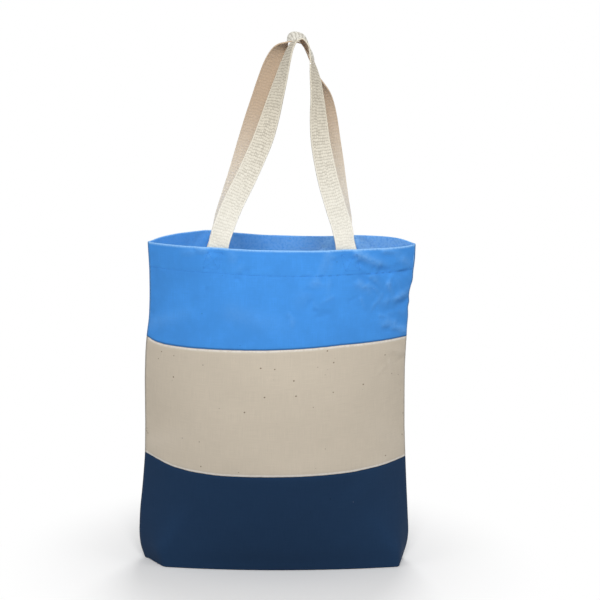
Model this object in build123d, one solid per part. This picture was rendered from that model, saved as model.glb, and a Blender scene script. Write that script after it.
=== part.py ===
from build123d import *
import os
from collections import namedtuple
from math import ceil, cos, pi, radians, sin, sqrt, tan

# A filled canvas tote bag in three bands of cloth, with a boxed base and two webbing handles.
# Millimetres. +Z is up, +X is to the right of someone who faces the front, +Y is towards the back.
# The origin is the middle of the base, on the surface that the bag stands on.

# The bag as it is cut and sewn
FLAT_WIDTH = 381.0  # between the side seams, with the bag lying flat
HEIGHT = 406.0  # base to rim
GUSSET = 76.0  # front to back across the boxed base
LOWER_SEAM = 134.0  # height of the seam under the middle band
UPPER_SEAM = 291.0  # height of the seam under the top band
CLOTH = 0.9  # one layer of canvas
ALLOWANCE = 10.0  # cloth turned in at each seam
HEM = 32.0  # depth of the turned hem at the rim
HEM_LAYERS = 3
SEAM_LAYERS = 2

# How far the filling draws each side in from half of the flat width
RIM_DRAW_IN = 24.5
UPPER_DRAW_IN = 28.5
LOWER_DRAW_IN = 24.5
BELLY_DRAW_IN = 15.5

# The belly of the bottom band, and the boxed base under it
BELLY_HEIGHT = 42.0
BELLY_HALF_DEPTH = 64.0
BELLY_EASE = 1.2  # 1 for straight sides over the belly, more for a rounder one
BASE_SIDE_BULGE = 15.5  # the corner seams bow out by this much
BASE_FRONT_BOW = 12.0  # the front and back folds bow out by this much
BASE_FLANK_BULGE = 1.0

# Webbing handles
STRAP_WIDTH = 25.4
STRAP = 2.0  # thickness of the webbing
STRAP_SPACING = 152.0  # between the two ends of one handle at the rim, middle to middle
STRAP_LEAN = 16.0  # degrees that the two ends are sewn in from upright, towards each other
SEWN_LENGTH = 28.0  # of each end, inside the hem
ROOT_GAP = 0.6  # fold line between a sewn end and its free loop
APEX_OFFSET = 14.0  # each loop's top, front or back of the middle
APEX_TILT = 12.0  # degrees that the webbing tilts at the top of a loop
SQUARING = 0.14  # share of a leg over which the webbing's section turns from level to square
FOLD_RISE = 1.5  # fold axis above the rim
FOLD_MARGIN = 0.8  # fold axis outside the rim at the webbing's inner edge

# Thread
THREAD = 0.7  # diameter of a row of stitches
OVERLOCK = 0.5  # thickness of the thread over a raw edge
OVERLOCK_WIDTH = 5.0
STITCH_INSET = 2.0  # hem stitching above the hem's lower fold
TACK_INSET = 4.0  # tack rows from the two ends of the sewn webbing
CLEARANCE = 0.15  # between pieces that lie against each other

# Modelling steps
SECTION_STEP = 16.0  # height between two sections of a wall
LEG_SECTIONS = 12
ARCH_SECTIONS = 10
KNEE_SHARE = 0.8  # place of the knee on the arc from the middle to a side seam
FLANK_SHARE = 0.9
TILT_POWER = 4  # how late the webbing tilts on its way to the top of a loop
HALVINGS = 50  # steps that find the angle of an arc

FRONT, BACK = -1, 1
LEFT, RIGHT = -1, 1

# Half of a horizontal section: the side seam, the flank beside it, the knee, and the depth at the middle.
Outline = namedtuple("Outline", "side flank knee depth")
# One handle's free loop: its height over the rim, the radius of its top and how far that is to the right,
# the lean in degrees of its left and right legs at the top, and how late the webbing twists.
Handle = namedtuple("Handle", "facing rise arch_radius hook_shift top_leans twist_power")
FRONT_HANDLE = Handle(
    facing=FRONT, rise=250.0, arch_radius=11.0, hook_shift=20.0, top_leans=(17.0, 2.0), twist_power=3.0
)
BACK_HANDLE = Handle(
    facing=BACK, rise=257.0, arch_radius=24.0, hook_shift=17.0, top_leans=(19.0, 12.0), twist_power=6.0
)


def lens(draw_in):
    """Radius, half angle and half depth of the arc that the flat width makes when its ends are drawn in."""
    share = 1 - 2 * draw_in / FLAT_WIDTH
    low, high = 0.0, pi / 2
    for _ in range(HALVINGS):
        angle = (low + high) / 2
        if sin(angle) > share * angle:
            low = angle
        else:
            high = angle
    radius = FLAT_WIDTH / (2 * angle)
    return radius, angle, radius * (1 - cos(angle))


def lens_outline(draw_in):
    """Outline of a band that is only drawn in, so that its front and back are plain arcs."""
    radius, angle, depth = lens(draw_in)

    def on_arc(share):
        return Vector(radius * sin(share * angle), radius * (cos(share * angle) - 1) + depth)

    return Outline(on_arc(1).X, on_arc(FLANK_SHARE), on_arc(KNEE_SHARE), depth)


def base_outline():
    """Outline of the boxed base, whose corner seams are as long as the gusset."""
    knee = Vector(FLAT_WIDTH / 2 - GUSSET / 2, GUSSET / 2)
    side = knee.X + BASE_SIDE_BULGE
    along = (knee - Vector(side, 0)).normalized()
    flank = (knee + Vector(side, 0)) / 2 + Vector(along.Y, -along.X) * BASE_FLANK_BULGE
    return Outline(side, flank, knee, knee.Y + BASE_FRONT_BOW)


def belly_outline():
    """Outline at the belly, with its knee halfway between the base's and the lower seam's."""
    base, seam = base_outline(), lens_outline(LOWER_DRAW_IN)
    side = FLAT_WIDTH / 2 - BELLY_DRAW_IN
    knee = (base.knee + seam.knee) / 2
    outward = (base.flank - (base.knee + Vector(base.side, 0)) / 2) * 2
    return Outline(side, (knee + Vector(side, 0)) / 2 + outward, knee, BELLY_HALF_DEPTH)


def draw_in_at(z):
    """Draw-in of the two upper bands, which changes evenly from seam to seam and to the rim."""
    if z < UPPER_SEAM:
        share = (z - LOWER_SEAM) / (UPPER_SEAM - LOWER_SEAM)
        return LOWER_DRAW_IN + share * (UPPER_DRAW_IN - LOWER_DRAW_IN)
    share = (z - UPPER_SEAM) / (HEIGHT - UPPER_SEAM)
    return UPPER_DRAW_IN + share * (RIM_DRAW_IN - UPPER_DRAW_IN)


def outline_at(z):
    """Outline at any height: arcs above the lower seam, and a smooth change to the boxed base below it."""
    if z >= LOWER_SEAM:
        return lens_outline(draw_in_at(z))
    if z < BELLY_HEIGHT:
        low, high = base_outline(), belly_outline()
        share = sin(pi / 2 * z / BELLY_HEIGHT)
    else:
        low, high = belly_outline(), lens_outline(LOWER_DRAW_IN)
        share = ((z - BELLY_HEIGHT) / (LOWER_SEAM - BELLY_HEIGHT)) ** BELLY_EASE
    return Outline(*(a + (b - a) * share for a, b in zip(low, high)))


def heights(bottom, top, *between):
    """Heights from bottom to top by way of those between, evenly spaced, about a section step apart."""
    stops = [bottom, *between, top]
    made = [bottom]
    for low, high in zip(stops, stops[1:]):
        count = max(1, ceil((high - low) / SECTION_STEP))
        made += [low + (high - low) * (i + 1) / count for i in range(count)]
    return made


def arc(a, b, c):
    return Edge.make_three_point_arc(a, b, c)


def polygon(points):
    """Closed wire of straight edges."""
    return Wire([Edge.make_line(a, b) for a, b in zip(points, points[1:] + points[:1])])


def wall_wire(z, thickness, facing):
    """Section of a front or back wall, with its seam allowances turned in along the two sides."""
    o = outline_at(z)
    side, front = Vector(o.side, 0), Vector(0, o.depth)
    along_flank = (o.knee - side).normalized()
    along_front = (front - o.knee).normalized()
    flank_in = Vector(-along_flank.Y, along_flank.X)
    front_in = Vector(-along_front.Y, along_front.X)
    inner_knee = o.knee + (flank_in + front_in) * (thickness / (1 + flank_in.dot(front_in)))
    inner_flank = o.flank + flank_in * thickness
    run = (CLOTH - thickness * flank_in.Y) / along_flank.Y
    inner_side = side + flank_in * thickness + along_flank * run
    fin_root, fin_end = Vector(o.side - ALLOWANCE, 0), Vector(o.side - ALLOWANCE, CLOTH)

    def place(point, hand):
        return Vector(hand * point.X, facing * point.Y, z)

    def both(point):
        return place(point, LEFT), place(point, RIGHT)

    side_l, side_r = both(side)
    flank_l, flank_r = both(o.flank)
    knee_l, knee_r = both(o.knee)
    in_flank_l, in_flank_r = both(inner_flank)
    in_knee_l, in_knee_r = both(inner_knee)
    in_side_l, in_side_r = both(inner_side)
    root_l, root_r = both(fin_root)
    end_l, end_r = both(fin_end)
    return Wire([
        arc(side_l, flank_l, knee_l),
        arc(knee_l, place(front, RIGHT), knee_r),
        arc(knee_r, flank_r, side_r),
        Edge.make_line(side_r, root_r),
        Edge.make_line(root_r, end_r),
        Edge.make_line(end_r, in_side_r),
        arc(in_side_r, in_flank_r, in_knee_r),
        arc(in_knee_r, place(front - Vector(0, thickness), RIGHT), in_knee_l),
        arc(in_knee_l, in_flank_l, in_side_l),
        Edge.make_line(in_side_l, end_l),
        Edge.make_line(end_l, root_l),
        Edge.make_line(root_l, side_l),
    ])


def wall(facing, *bands):
    """One panel: bands of (bottom, top, layers of cloth), stacked and joined."""
    made = [
        Solid.make_loft([wall_wire(z, layers * CLOTH, facing) for z in heights(bottom, top)], ruled=True)
        for bottom, top, layers in bands
    ]
    return made[0].fuse(*made[1:])


def top_panel(facing):
    """Top band of one face, with a turned hem at the rim and a turned allowance at its seam."""
    seam_edge, hem_edge = UPPER_SEAM + ALLOWANCE, HEIGHT - HEM
    return wall(
        facing,
        (UPPER_SEAM, seam_edge, SEAM_LAYERS),
        (seam_edge, hem_edge, 1),
        (hem_edge, HEIGHT, HEM_LAYERS),
    )


def middle_panel(facing):
    """Middle band of one face, with turned allowances at its two seams."""
    low, high = LOWER_SEAM + ALLOWANCE, UPPER_SEAM - ALLOWANCE
    return wall(
        facing,
        (LOWER_SEAM, low, SEAM_LAYERS),
        (low, high, 1),
        (high, UPPER_SEAM, SEAM_LAYERS),
    )


def bottom_panel():
    """Bottom band: one cloth that runs down the front, under the base and up the back."""
    edge = LOWER_SEAM - ALLOWANCE
    bands = (0, BELLY_HEIGHT, 1), (BELLY_HEIGHT, edge, 1), (edge, LOWER_SEAM, SEAM_LAYERS)
    walls = [wall(facing, *bands) for facing in (FRONT, BACK)]
    o = base_outline()
    corners = [Vector(LEFT * o.side, 0), Vector(RIGHT * o.side, 0)]
    edges = []
    for facing in (FRONT, BACK):
        left, right = (Vector(h * o.knee.X, facing * o.knee.Y) for h in (LEFT, RIGHT))
        flanks = [Vector(h * o.flank.X, facing * o.flank.Y) for h in (LEFT, RIGHT)]
        edges += [
            arc(corners[0], flanks[0], left),
            arc(left, Vector(0, facing * o.depth), right),
            arc(right, flanks[1], corners[1]),
        ]
    floor = Solid.extrude(Face(Wire(edges)), Vector(0, 0, CLOTH))
    return floor.fuse(*walls)


def depth_on_arc(z, inset, x):
    """Distance from the middle plane to the arc that lies inset from the cloth's face, at height z and place x."""
    radius, _, depth = lens(draw_in_at(z))
    return sqrt((radius - inset) ** 2 - x**2) - (radius - depth)


def stitch_row(z, inset, facing, start, end):
    """Row of thread that follows the arc inset from the cloth's face, from x = start to x = end."""
    middle = (start + end) / 2
    path = arc(*(Vector(x, facing * depth_on_arc(z, inset, x), z) for x in (start, middle, end)))
    profile = Plane(origin=path @ 0, z_dir=path % 0) * Circle(THREAD / 2)
    return sweep(profile, path=path).solid()


def seam_reach(z):
    """Half length of a stitch row, which stops short of the allowances at the side seams."""
    return outline_at(z).side - ALLOWANCE - OVERLOCK_WIDTH


def hem_stitching(facing):
    """Hem row on one face: needle thread outside, bobbin thread inside."""
    z = HEIGHT - HEM + STITCH_INSET
    seat = THREAD / 2 + CLEARANCE
    reach = seam_reach(z)
    return [stitch_row(z, inset, facing, -reach, reach) for inset in (-seat, HEM_LAYERS * CLOTH + seat)]


def seam_stitching(facing, z):
    """Row that joins two bands, inside the bag where the two turned allowances meet."""
    inset = SEAM_LAYERS * CLOTH + THREAD / 2 + CLEARANCE
    reach = seam_reach(z)
    return [stitch_row(z, inset, facing, -reach, reach)]


def overlock(hand):
    """Thread wrapped over the raw edges of one side seam's two allowances, from the base up to the hem."""

    def channel(z):
        end = outline_at(z).side - ALLOWANCE
        slot, shell = CLOTH + CLEARANCE, CLOTH + CLEARANCE + OVERLOCK
        mouth, floor, back = end + OVERLOCK_WIDTH, end - CLEARANCE, end - CLEARANCE - OVERLOCK
        points = [
            (mouth, shell), (back, shell), (back, -shell), (mouth, -shell),
            (mouth, -slot), (floor, -slot), (floor, slot), (mouth, slot),
        ]
        return polygon([Vector(hand * x, y, z) for x, y in points])

    seams = [seam + gap for seam in (LOWER_SEAM, UPPER_SEAM) for gap in (-ALLOWANCE, 0, ALLOWANCE)]
    levels = heights(CLOTH + THREAD, HEIGHT - HEM - THREAD, BELLY_HEIGHT, *seams)
    return Solid.make_loft([channel(z) for z in levels], ruled=True)


def corner_stitching(hand):
    """Thread along one corner seam of the base, inside the bag where the side meets the floor."""
    o = base_outline()
    inset = CLOTH + THREAD + CLEARANCE
    side, knee = Vector(o.side, 0), o.knee
    along = (knee - side).normalized()
    inward = Vector(-along.Y, along.X) * inset
    low = CLOTH + CLEARANCE
    clear_of_fin = CLOTH + OVERLOCK + 2 * CLEARANCE + THREAD
    start = side + inward + along * ((clear_of_fin - inward.Y) / along.Y)
    end = knee + inward - along * inset

    def bead(point, facing):
        across = Vector(hand * inward.X, facing * inward.Y).normalized() * (THREAD / 2)
        at, up = Vector(hand * point.X, facing * point.Y, low), Vector(0, 0, THREAD)
        return polygon([at - across, at + across, at + across + up, at - across + up])

    return [Solid.make_loft([bead(start, f), bead(end, f)], ruled=True) for f in (FRONT, BACK)]


def strap_inset():
    """Inset of a sewn end's outer face from the cloth's face: the hem and a clearance."""
    return HEM_LAYERS * CLOTH + CLEARANCE


def strap_middle(z):
    """Place of the middle of a leaning strap end at height z, out from the bag's middle."""
    return STRAP_SPACING / 2 + (HEIGHT - z) * tan(radians(STRAP_LEAN))


def sewn_end(facing, hand):
    """One end of a handle, flat against the inside of the hem."""

    def section(z):
        radius, _, _ = lens(draw_in_at(z))
        middle = hand * strap_middle(z)
        half = STRAP_WIDTH / 2 / cos(radians(STRAP_LEAN)) * sqrt(1 - (middle / radius) ** 2)
        xs = middle - half, middle, middle + half
        outer, inner = (
            [Vector(x, facing * depth_on_arc(z, inset, x), z) for x in xs]
            for inset in (strap_inset(), strap_inset() + STRAP)
        )
        return Wire([
            arc(*outer), Edge.make_line(outer[2], inner[2]), arc(*reversed(inner)), Edge.make_line(inner[0], outer[0]),
        ])

    return Solid.make_loft([section(z) for z in (HEIGHT - SEWN_LENGTH, HEIGHT)], ruled=True)


def handle_tacks(facing):
    """Rows of thread across the two sewn ends of one handle, on the inside."""
    inset = strap_inset() + STRAP + THREAD / 2 + CLEARANCE
    reach = STRAP_WIDTH / 2 - THREAD - TACK_INSET / 2
    rows = HEIGHT - SEWN_LENGTH + TACK_INSET, HEIGHT - TACK_INSET
    places = [(hand * strap_middle(z), z) for z in rows for hand in (LEFT, RIGHT)]
    return [stitch_row(z, inset, facing, x - reach, x + reach) for x, z in places]


def bezier(a, b, c, d, t):
    s = 1 - t
    return a * s**3 + b * (3 * s * s * t) + c * (3 * s * t * t) + d * t**3


def bezier_slope(a, b, c, d, t):
    s = 1 - t
    return ((b - a) * (s * s) + (c - b) * (2 * s * t) + (d - c) * (t * t)).normalized()


def loop_line(handle):
    """Centreline of a free loop from its left root to its right one: (point, direction, twist, squareness)."""
    rim = HEIGHT + ROOT_GAP
    radius, _, _ = lens(RIM_DRAW_IN)
    root_x = STRAP_SPACING / 2
    root_y = handle.facing * depth_on_arc(HEIGHT, strap_inset() + STRAP / 2, root_x)
    root_twist = Vector(1, 0).get_angle(Vector(sqrt(radius**2 - root_x**2), root_x))
    top_y = handle.facing * APEX_OFFSET
    centre = Vector(handle.hook_shift, top_y, HEIGHT + handle.rise - handle.arch_radius)

    def leg(hand):
        lean_low = radians(STRAP_LEAN)
        lean_top = radians(handle.top_leans[0 if hand == LEFT else 1])
        root = Vector(hand * root_x, root_y, rim)
        top = centre + Vector(hand * cos(lean_top), 0, sin(lean_top)) * handle.arch_radius
        third = (top - root).length / 3
        lift = Vector(0, (top_y - root_y) / 3, 0)
        low = root + Vector(-hand * sin(lean_low), 0, cos(lean_low)) * third + lift
        high = top - Vector(-hand * sin(lean_top), 0, cos(lean_top)) * third - lift
        made = []
        for i in range(LEG_SECTIONS):
            t = i / LEG_SECTIONS
            twist = root_twist * (1 - t) ** 2 + 90 * t**handle.twist_power
            square = min(1.0, t / SQUARING)
            made.append((bezier(root, low, high, top, t), bezier_slope(root, low, high, top, t), twist, square))
        return made

    start, end = radians(handle.top_leans[0]), pi - radians(handle.top_leans[1])
    arch = []
    for i in range(ARCH_SECTIONS + 1):
        a = start + (end - start) * i / ARCH_SECTIONS
        point = centre + Vector(-cos(a), 0, sin(a)) * handle.arch_radius
        arch.append((point, Vector(sin(a), 0, cos(a)), 90, 1.0))
    down = [(p, d * -1, 180 - twist, square) for p, d, twist, square in reversed(leg(RIGHT))]
    return leg(LEFT) + arch + down


def free_loop(handle):
    """The loop of one handle above the rim, twisting from flat on the rim to square over what it hangs on."""
    wires = []
    for point, direction, twist, square in loop_line(handle):
        tilt = sin(radians(twist)) ** TILT_POWER * radians(APEX_TILT)
        across = Vector(cos(radians(twist)), handle.facing * sin(radians(twist)) * cos(tilt), sin(tilt))
        across -= direction * (across.dot(direction) * square)
        half = across * (STRAP_WIDTH / 2 / across.cross(direction).length)
        face = across.cross(direction).normalized()
        out = across.cross(direction * square + Vector(0, 0, 1 - square)).normalized()
        out *= STRAP / 2 / out.dot(face)
        wires.append(polygon([point - half - out, point + half - out, point + half + out, point - half + out]))
    return Solid.make_loft(wires, ruled=True)


def loop_length(handle):
    points = [p for p, _, _, _ in loop_line(handle)]
    return sum((b - a).length for a, b in zip(points, points[1:]))


def fold_axis(facing):
    """Place of a handle's fold line: (y, z), just outside the rim where the webbing's inner edges cross it."""
    return facing * (depth_on_arc(HEIGHT, 0, STRAP_SPACING / 2 - STRAP_WIDTH / 2) + FOLD_MARGIN), HEIGHT + FOLD_RISE


PIECES = {"bottom_panel": [bottom_panel()]}
for face, facing, handle in (("front", FRONT, FRONT_HANDLE), ("back", BACK, BACK_HANDLE)):
    PIECES[f"{face}_top_panel"] = [top_panel(facing)]
    PIECES[f"{face}_middle_panel"] = [middle_panel(facing)]
    PIECES[f"{face}_hem_stitching"] = hem_stitching(facing)
    PIECES[f"{face}_upper_seam_stitching"] = seam_stitching(facing, UPPER_SEAM)
    PIECES[f"{face}_lower_seam_stitching"] = seam_stitching(facing, LOWER_SEAM)
    PIECES[f"{face}_handle_loop"] = [free_loop(handle)]
    PIECES[f"{face}_handle_ends"] = [sewn_end(facing, hand) for hand in (LEFT, RIGHT)]
    PIECES[f"{face}_handle_tacks"] = handle_tacks(facing)
for side, hand in (("left", LEFT), ("right", RIGHT)):
    PIECES[f"{side}_side_overlock"] = [overlock(hand)]
    PIECES[f"{side}_corner_stitching"] = corner_stitching(hand)

os.makedirs("parts", exist_ok=True)
for name, solids in PIECES.items():
    export_step(solids[0] if len(solids) == 1 else Compound(children=solids), f"parts/{name}.step")

for handle in (FRONT_HANDLE, BACK_HANDLE):
    y, z = fold_axis(handle.facing)
    print(f"loop of {loop_length(handle):.1f} mm folds about y {y:.2f}, z {z:.2f}")
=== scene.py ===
"""Canvas tote bag in three cloth bands with two webbing handles, dressed around its CAD frame."""

import math
from collections import namedtuple

import bmesh
import bpy
import numpy as np
from bpy.props import FloatProperty, FloatVectorProperty, PointerProperty
from mathutils import Matrix, Vector


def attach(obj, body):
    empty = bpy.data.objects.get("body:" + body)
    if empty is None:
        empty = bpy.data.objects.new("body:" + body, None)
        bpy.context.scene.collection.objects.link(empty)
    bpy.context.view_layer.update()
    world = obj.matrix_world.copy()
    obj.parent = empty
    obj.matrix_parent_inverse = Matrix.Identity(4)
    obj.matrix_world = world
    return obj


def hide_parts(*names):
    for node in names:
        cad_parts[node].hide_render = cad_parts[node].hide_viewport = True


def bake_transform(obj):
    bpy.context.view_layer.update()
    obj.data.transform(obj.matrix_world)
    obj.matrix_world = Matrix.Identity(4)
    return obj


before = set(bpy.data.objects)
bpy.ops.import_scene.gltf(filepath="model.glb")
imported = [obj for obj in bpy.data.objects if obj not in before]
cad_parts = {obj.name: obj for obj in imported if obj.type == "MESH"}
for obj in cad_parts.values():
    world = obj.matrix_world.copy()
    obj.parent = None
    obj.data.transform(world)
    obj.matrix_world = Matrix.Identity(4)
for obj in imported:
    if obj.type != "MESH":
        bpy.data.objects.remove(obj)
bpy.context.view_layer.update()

bl_info = {
    "name": "Canvas Tote Bag",
    "version": (1, 0, 0),
    "blender": (4, 5, 0),
    "location": "View3D > Sidebar > Tote Bag",
    "description": "Builds a three-band canvas tote bag with webbing handles",
    "category": "Add Mesh",
}

MM = 0.001
FRONT = -1
BACK = 1
SIDES = {FRONT: "front", BACK: "back"}
ENDS = {-1: "left", 1: "right"}

# Sizes and colours that a user may change


def measure(name, description, value):
    """A length property with its default in metres"""
    return FloatProperty(name=name, description=description, default=value, unit="LENGTH")


def colour(name, description, value):
    """A colour property with its default"""
    return FloatVectorProperty(
        name=name, description=description, default=value, size=4, min=0.0, max=1.0, subtype="COLOR"
    )


class ToteSizes(bpy.types.PropertyGroup):
    """Sizes of the bag's cloth and sewing"""

    flat_width: measure("Flat width", "Width of the bag laid flat", 0.381)
    height: measure("Height", "Height of the rim above the base", 0.406)
    gusset: measure("Gusset", "Depth of the boxed base", 0.076)
    lower_seam: measure("Lower seam", "Height of the seam above the navy band", 0.134)
    upper_seam: measure("Upper seam", "Height of the seam under the blue band", 0.291)
    cloth: measure("Canvas", "Thickness of the canvas", 0.0009)
    allowance: measure("Allowance", "Cloth turned in at a seam", 0.010)
    hem: measure("Hem", "Depth of the turned hem at the rim", 0.032)
    strap_width: measure("Webbing width", "Width of the handle webbing", 0.0254)
    strap: measure("Webbing", "Thickness of the handle webbing", 0.0017)
    sewn_length: measure("Sewn length", "Webbing sewn inside the hem at each end", 0.029)
    stitch: measure("Stitch", "Length of one stitch with its gap", 0.0032)
    thread: measure("Thread", "Thickness of the sewing thread", 0.0006)


class ToteColours(bpy.types.PropertyGroup):
    """Colours of the bag's cloth and thread"""

    blue: colour("Blue canvas", "Cloth of the top band", (0.062, 0.299, 0.795, 1))
    natural: colour("Natural canvas", "Undyed cloth of the middle band", (0.585, 0.515, 0.418, 1))
    navy: colour("Navy canvas", "Cloth of the bottom band", (0.0105, 0.0325, 0.079, 1))
    webbing: colour("Webbing", "Undyed cotton of the handles", (0.84, 0.82, 0.74, 1))
    # Painted shade: the front handle's outer face darkens towards its top, where the twisted strap turns
    # from the light
    webbing_shaded: colour("Shaded webbing", "Outer face with painted shade towards the top of the handle", (0.69, 0.64, 0.53, 1))
    # Painted light and shade on the handles' inner face: pale at the ends against the front strap's shadow,
    # warm tan shade towards the top
    webbing_inside_lit: colour("Lit webbing inside", "Inner face of the handles, with painted light at the ends", (0.98, 0.91, 0.775, 1))
    webbing_inner: colour(
        "Shaded webbing inside", "Inner face with painted warm shade towards the top of the handle", (0.60, 0.455, 0.325, 1)
    )
    blue_thread: colour("Blue thread", "Thread of the hem", (0.055, 0.264, 0.715, 1))
    natural_thread: colour("Natural thread", "Thread of the seams and handles", (0.70, 0.65, 0.55, 1))
    navy_thread: colour("Navy thread", "Thread of the bottom band", (0.014, 0.036, 0.08, 1))
    floor: colour("Floor", "Studio floor", (0.86, 0.86, 0.86, 1))


def sizes():
    """The bag's sizes in mm, by name"""
    held = bpy.context.scene.tote_sizes
    return {name: getattr(held, name) / MM for name in ToteSizes.__annotations__}


def picked(name):
    """One of the bag's colours, as plain numbers"""
    return tuple(getattr(bpy.context.scene.tote_colours, name))


# Shape of the filled bag

# Half widths by height above the base, left and right, in mm
LEFT_HALF = (
    (0, 167.5), (6, 171), (14, 174), (32, 176.2), (64, 175.2), (96, 172), (134, 169.2),
    (175, 168.8), (236, 169.6), (270, 168.8), (292, 167.2), (312, 164.4), (340, 163.7),
    (374, 164.2), (400, 166), (420, 167),
)
RIGHT_HALF = (
    (0, 163.2), (6, 166), (14, 168.6), (32, 171.4), (64, 169), (97, 166.5), (134, 164),
    (176, 161.5), (223, 160.2), (255, 159.6), (290, 160.6), (316, 161.5), (335, 161.8),
    (350, 163.6), (364, 166), (392, 168.4), (420, 168.6),
)
# Half depth by height, in mm
HALF_DEPTH = (
    (0, 50), (20, 57), (42, 64), (88, 74), (134, 81), (190, 84.5), (250, 86), (310, 85.5),
    (360, 83), (406, 80), (420, 79),
)
# Windows in mm that the half widths and the half depth are eased over, and the steps of every easing
HALF_EASE = 9
DEPTH_EASE = 16
EASE_STEPS = 9

# Droop and lift of the seams and the rim in mm, by the share of the half width, from left to right
UPPER_DROOP = {
    FRONT: (
        (-1, -1.4), (-0.98, -4), (-0.95, -6), (-0.9, -7.2), (-0.82, -8.3), (-0.6, -7.9), (-0.1, -4.6),
        (0.15, -2.3), (0.4, 0.6), (0.6, 1), (0.9, 1), (1, 0.6),
    ),
    BACK: ((-1, -1.4), (-0.7, -3), (-0.2, -4.5), (0.3, -4.5), (0.75, -1.5), (1, 0.6)),
}
LOWER_DROOP = {
    FRONT: (
        (-1, 5.4), (-0.93, 3.2), (-0.85, 0), (-0.75, -4.2), (-0.6, -6.6), (-0.4, -7.4), (-0.1, -5.4),
        (0.15, -4.6), (0.5, -3.8), (0.8, -1), (1, 1.4),
    ),
    BACK: ((-1, 5.4), (-0.85, 1), (-0.6, -2), (-0.25, -4), (0.25, -4.5), (0.75, -1.5), (1, 1.4)),
}
RIM_LIFT = {
    FRONT: (
        (-1, 0.5), (-0.7, 0.4), (-0.44, 1), (-0.2, 0), (0.2, 0), (0.43, 1), (0.75, 0.6), (0.93, 1), (1, 2.5),
    ),
    BACK: (
        (-1, 0.5), (-0.9, 5.2), (-0.75, 8.6), (-0.5, 11.5), (-0.33, 7.5), (-0.1, 4), (0.15, 3.4),
        (0.35, 4.4), (0.56, 8), (0.78, 8.6), (0.9, 7.2), (1, 2.5),
    ),
}
# Lines of the bag: the size that gives the height, its droop or lift, and the share that this is eased over
LINES = {
    "lower": ("lower_seam", LOWER_DROOP, 0.05),
    "upper": ("upper_seam", UPPER_DROOP, 0.04),
    "rim": ("height", RIM_LIFT, 0.05),
}
# The hem's stitching lies this far above the hem's lower edge, in mm
HEM_STITCH_UP = 2

# The boxed base: its knees by share of the flat half width, of the half width (left, right) and of the depth
KNEE_SHARE = 0.8
KNEE_ACROSS = {FRONT: (0.85, 0.947), BACK: (0.947, 0.85)}
KNEE_DEEP = 0.76
# How softly the knees turn, as a share: at the floor, how much more at the lower seam, the part of the way
# to the side that this may take, and the steps it is averaged over
KNEE_SOFT = 0.015
KNEE_SOFTER = 0.18
KNEE_SIDE_ROOM = 0.9
KNEE_STEPS = 7

# The crumpled right side, in mm: a ripple and one tuck, with the share of the half width they take
RIPPLE_AT = 345
RIPPLE_REACH = 36
RIPPLE_DEPTH = 0.45
RIPPLE_WAVE = (2.9, 1.6, 11)
RIPPLE_SHARE = 0.04
TUCK_AT = 349
TUCK_REACH = 4.5
TUCK_DEPTH = 1.4

# Soft folds by face: start, end, width and height in mm
FOLDS = {
    FRONT: (
        ((88, 403), (132, 382), 5, 4.2), ((80, 395), (122, 376), 5.5, -0.9),
        ((122, 380), (160, 371), 5.5, -2.6), ((52, 402), (34, 362), 7, 2.0),
        ((45, 398), (24, 352), 7, -1.0), ((124, 404), (150, 400), 3.5, 2.2),
        ((74, 402), (66, 352), 8, -1.6), ((92, 366), (120, 350), 5.5, 1.9),
        ((150, 392), (166, 380), 5, 1.9), ((34, 366), (12, 336), 8, 0.8),
        ((-94, 404), (-126, 398), 4.5, 2.2), ((-64, 404), (-48, 374), 7, 1.1),
        ((-80, 398), (-90, 350), 9, -1.2), ((-166, 304), (-104, 330), 8, 1.2),
        ((160, 300), (116, 320), 5, 2.2), ((162, 350), (116, 338), 5, 2.5),
        ((164, 340), (126, 326), 5, -2), ((-60, 330), (20, 312), 12, 0.9),
        ((-165, 150), (-90, 190), 13, 0.8), ((160, 150), (95, 200), 13, 0.8),
        ((160, 270), (128, 282), 5, 1.0), ((-150, 20), (-110, 92), 10, 1.4),
        ((150, 20), (104, 88), 10, 1.3), ((-120, 30), (-60, 60), 14, -0.9),
        ((130, 132), (60, 70), 14, 0.8),
    ),
    BACK: (
        ((-66, 418), (-34, 352), 7, 2.0), ((-90, 418), (-132, 388), 7, 2.0),
        ((92, 416), (126, 384), 7, 2.0), ((68, 416), (30, 350), 7, 1.9),
        ((-150, 20), (-108, 90), 10, 1.3), ((150, 20), (110, 92), 10, 1.3),
        ((-160, 150), (-92, 196), 13, 0.9), ((160, 150), (95, 192), 13, 0.9),
        ((-20, 400), (10, 340), 10, -1.2),
    ),
}
# The power by which a fold dies away along its length
FOLD_FADE = 0.7
# Places where the cloth is crumpled: middle, reach in mm and how many small creases
CRUMPLES = {
    FRONT: (
        ((98, 388), 22, 14), ((140, 376), 18, 12), ((108, 352), 20, 12), ((130, 316), 22, 11),
        ((46, 384), 18, 7), ((-92, 392), 24, 8), ((-60, 384), 18, 5), ((20, 335), 32, 8),
        ((155, 340), 12, 8), ((150, 262), 14, 5),
    ),
    BACK: (
        ((-96, 392), 22, 10), ((-56, 384), 18, 8), ((98, 390), 22, 10), ((62, 384), 18, 8),
        ((-150, 340), 14, 6), ((150, 330), 14, 6), ((0, 340), 34, 6),
    ),
}
# Small creases: spread as a share of the reach, turns, and lengths, widths and heights in mm
CREASE_SEED = {FRONT: 5, BACK: 8}
CREASE_SPREAD = 0.6
CREASE_TURNS = (-0.5, math.pi - 0.5)
CREASE_LENGTHS = (8, 24)
CREASE_WIDTHS = (1.8, 3.2)
CREASE_HEIGHTS = (0.5, 1.15)
# Slow waves of the slack cloth: their number, lengths in mm and height as a share of the length
WAVE_SEED = {FRONT: 11, BACK: 23}
WAVE_COUNT = 26
WAVE_LENGTHS = (24, 120)
WAVE_HEIGHT = 0.001

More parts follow.
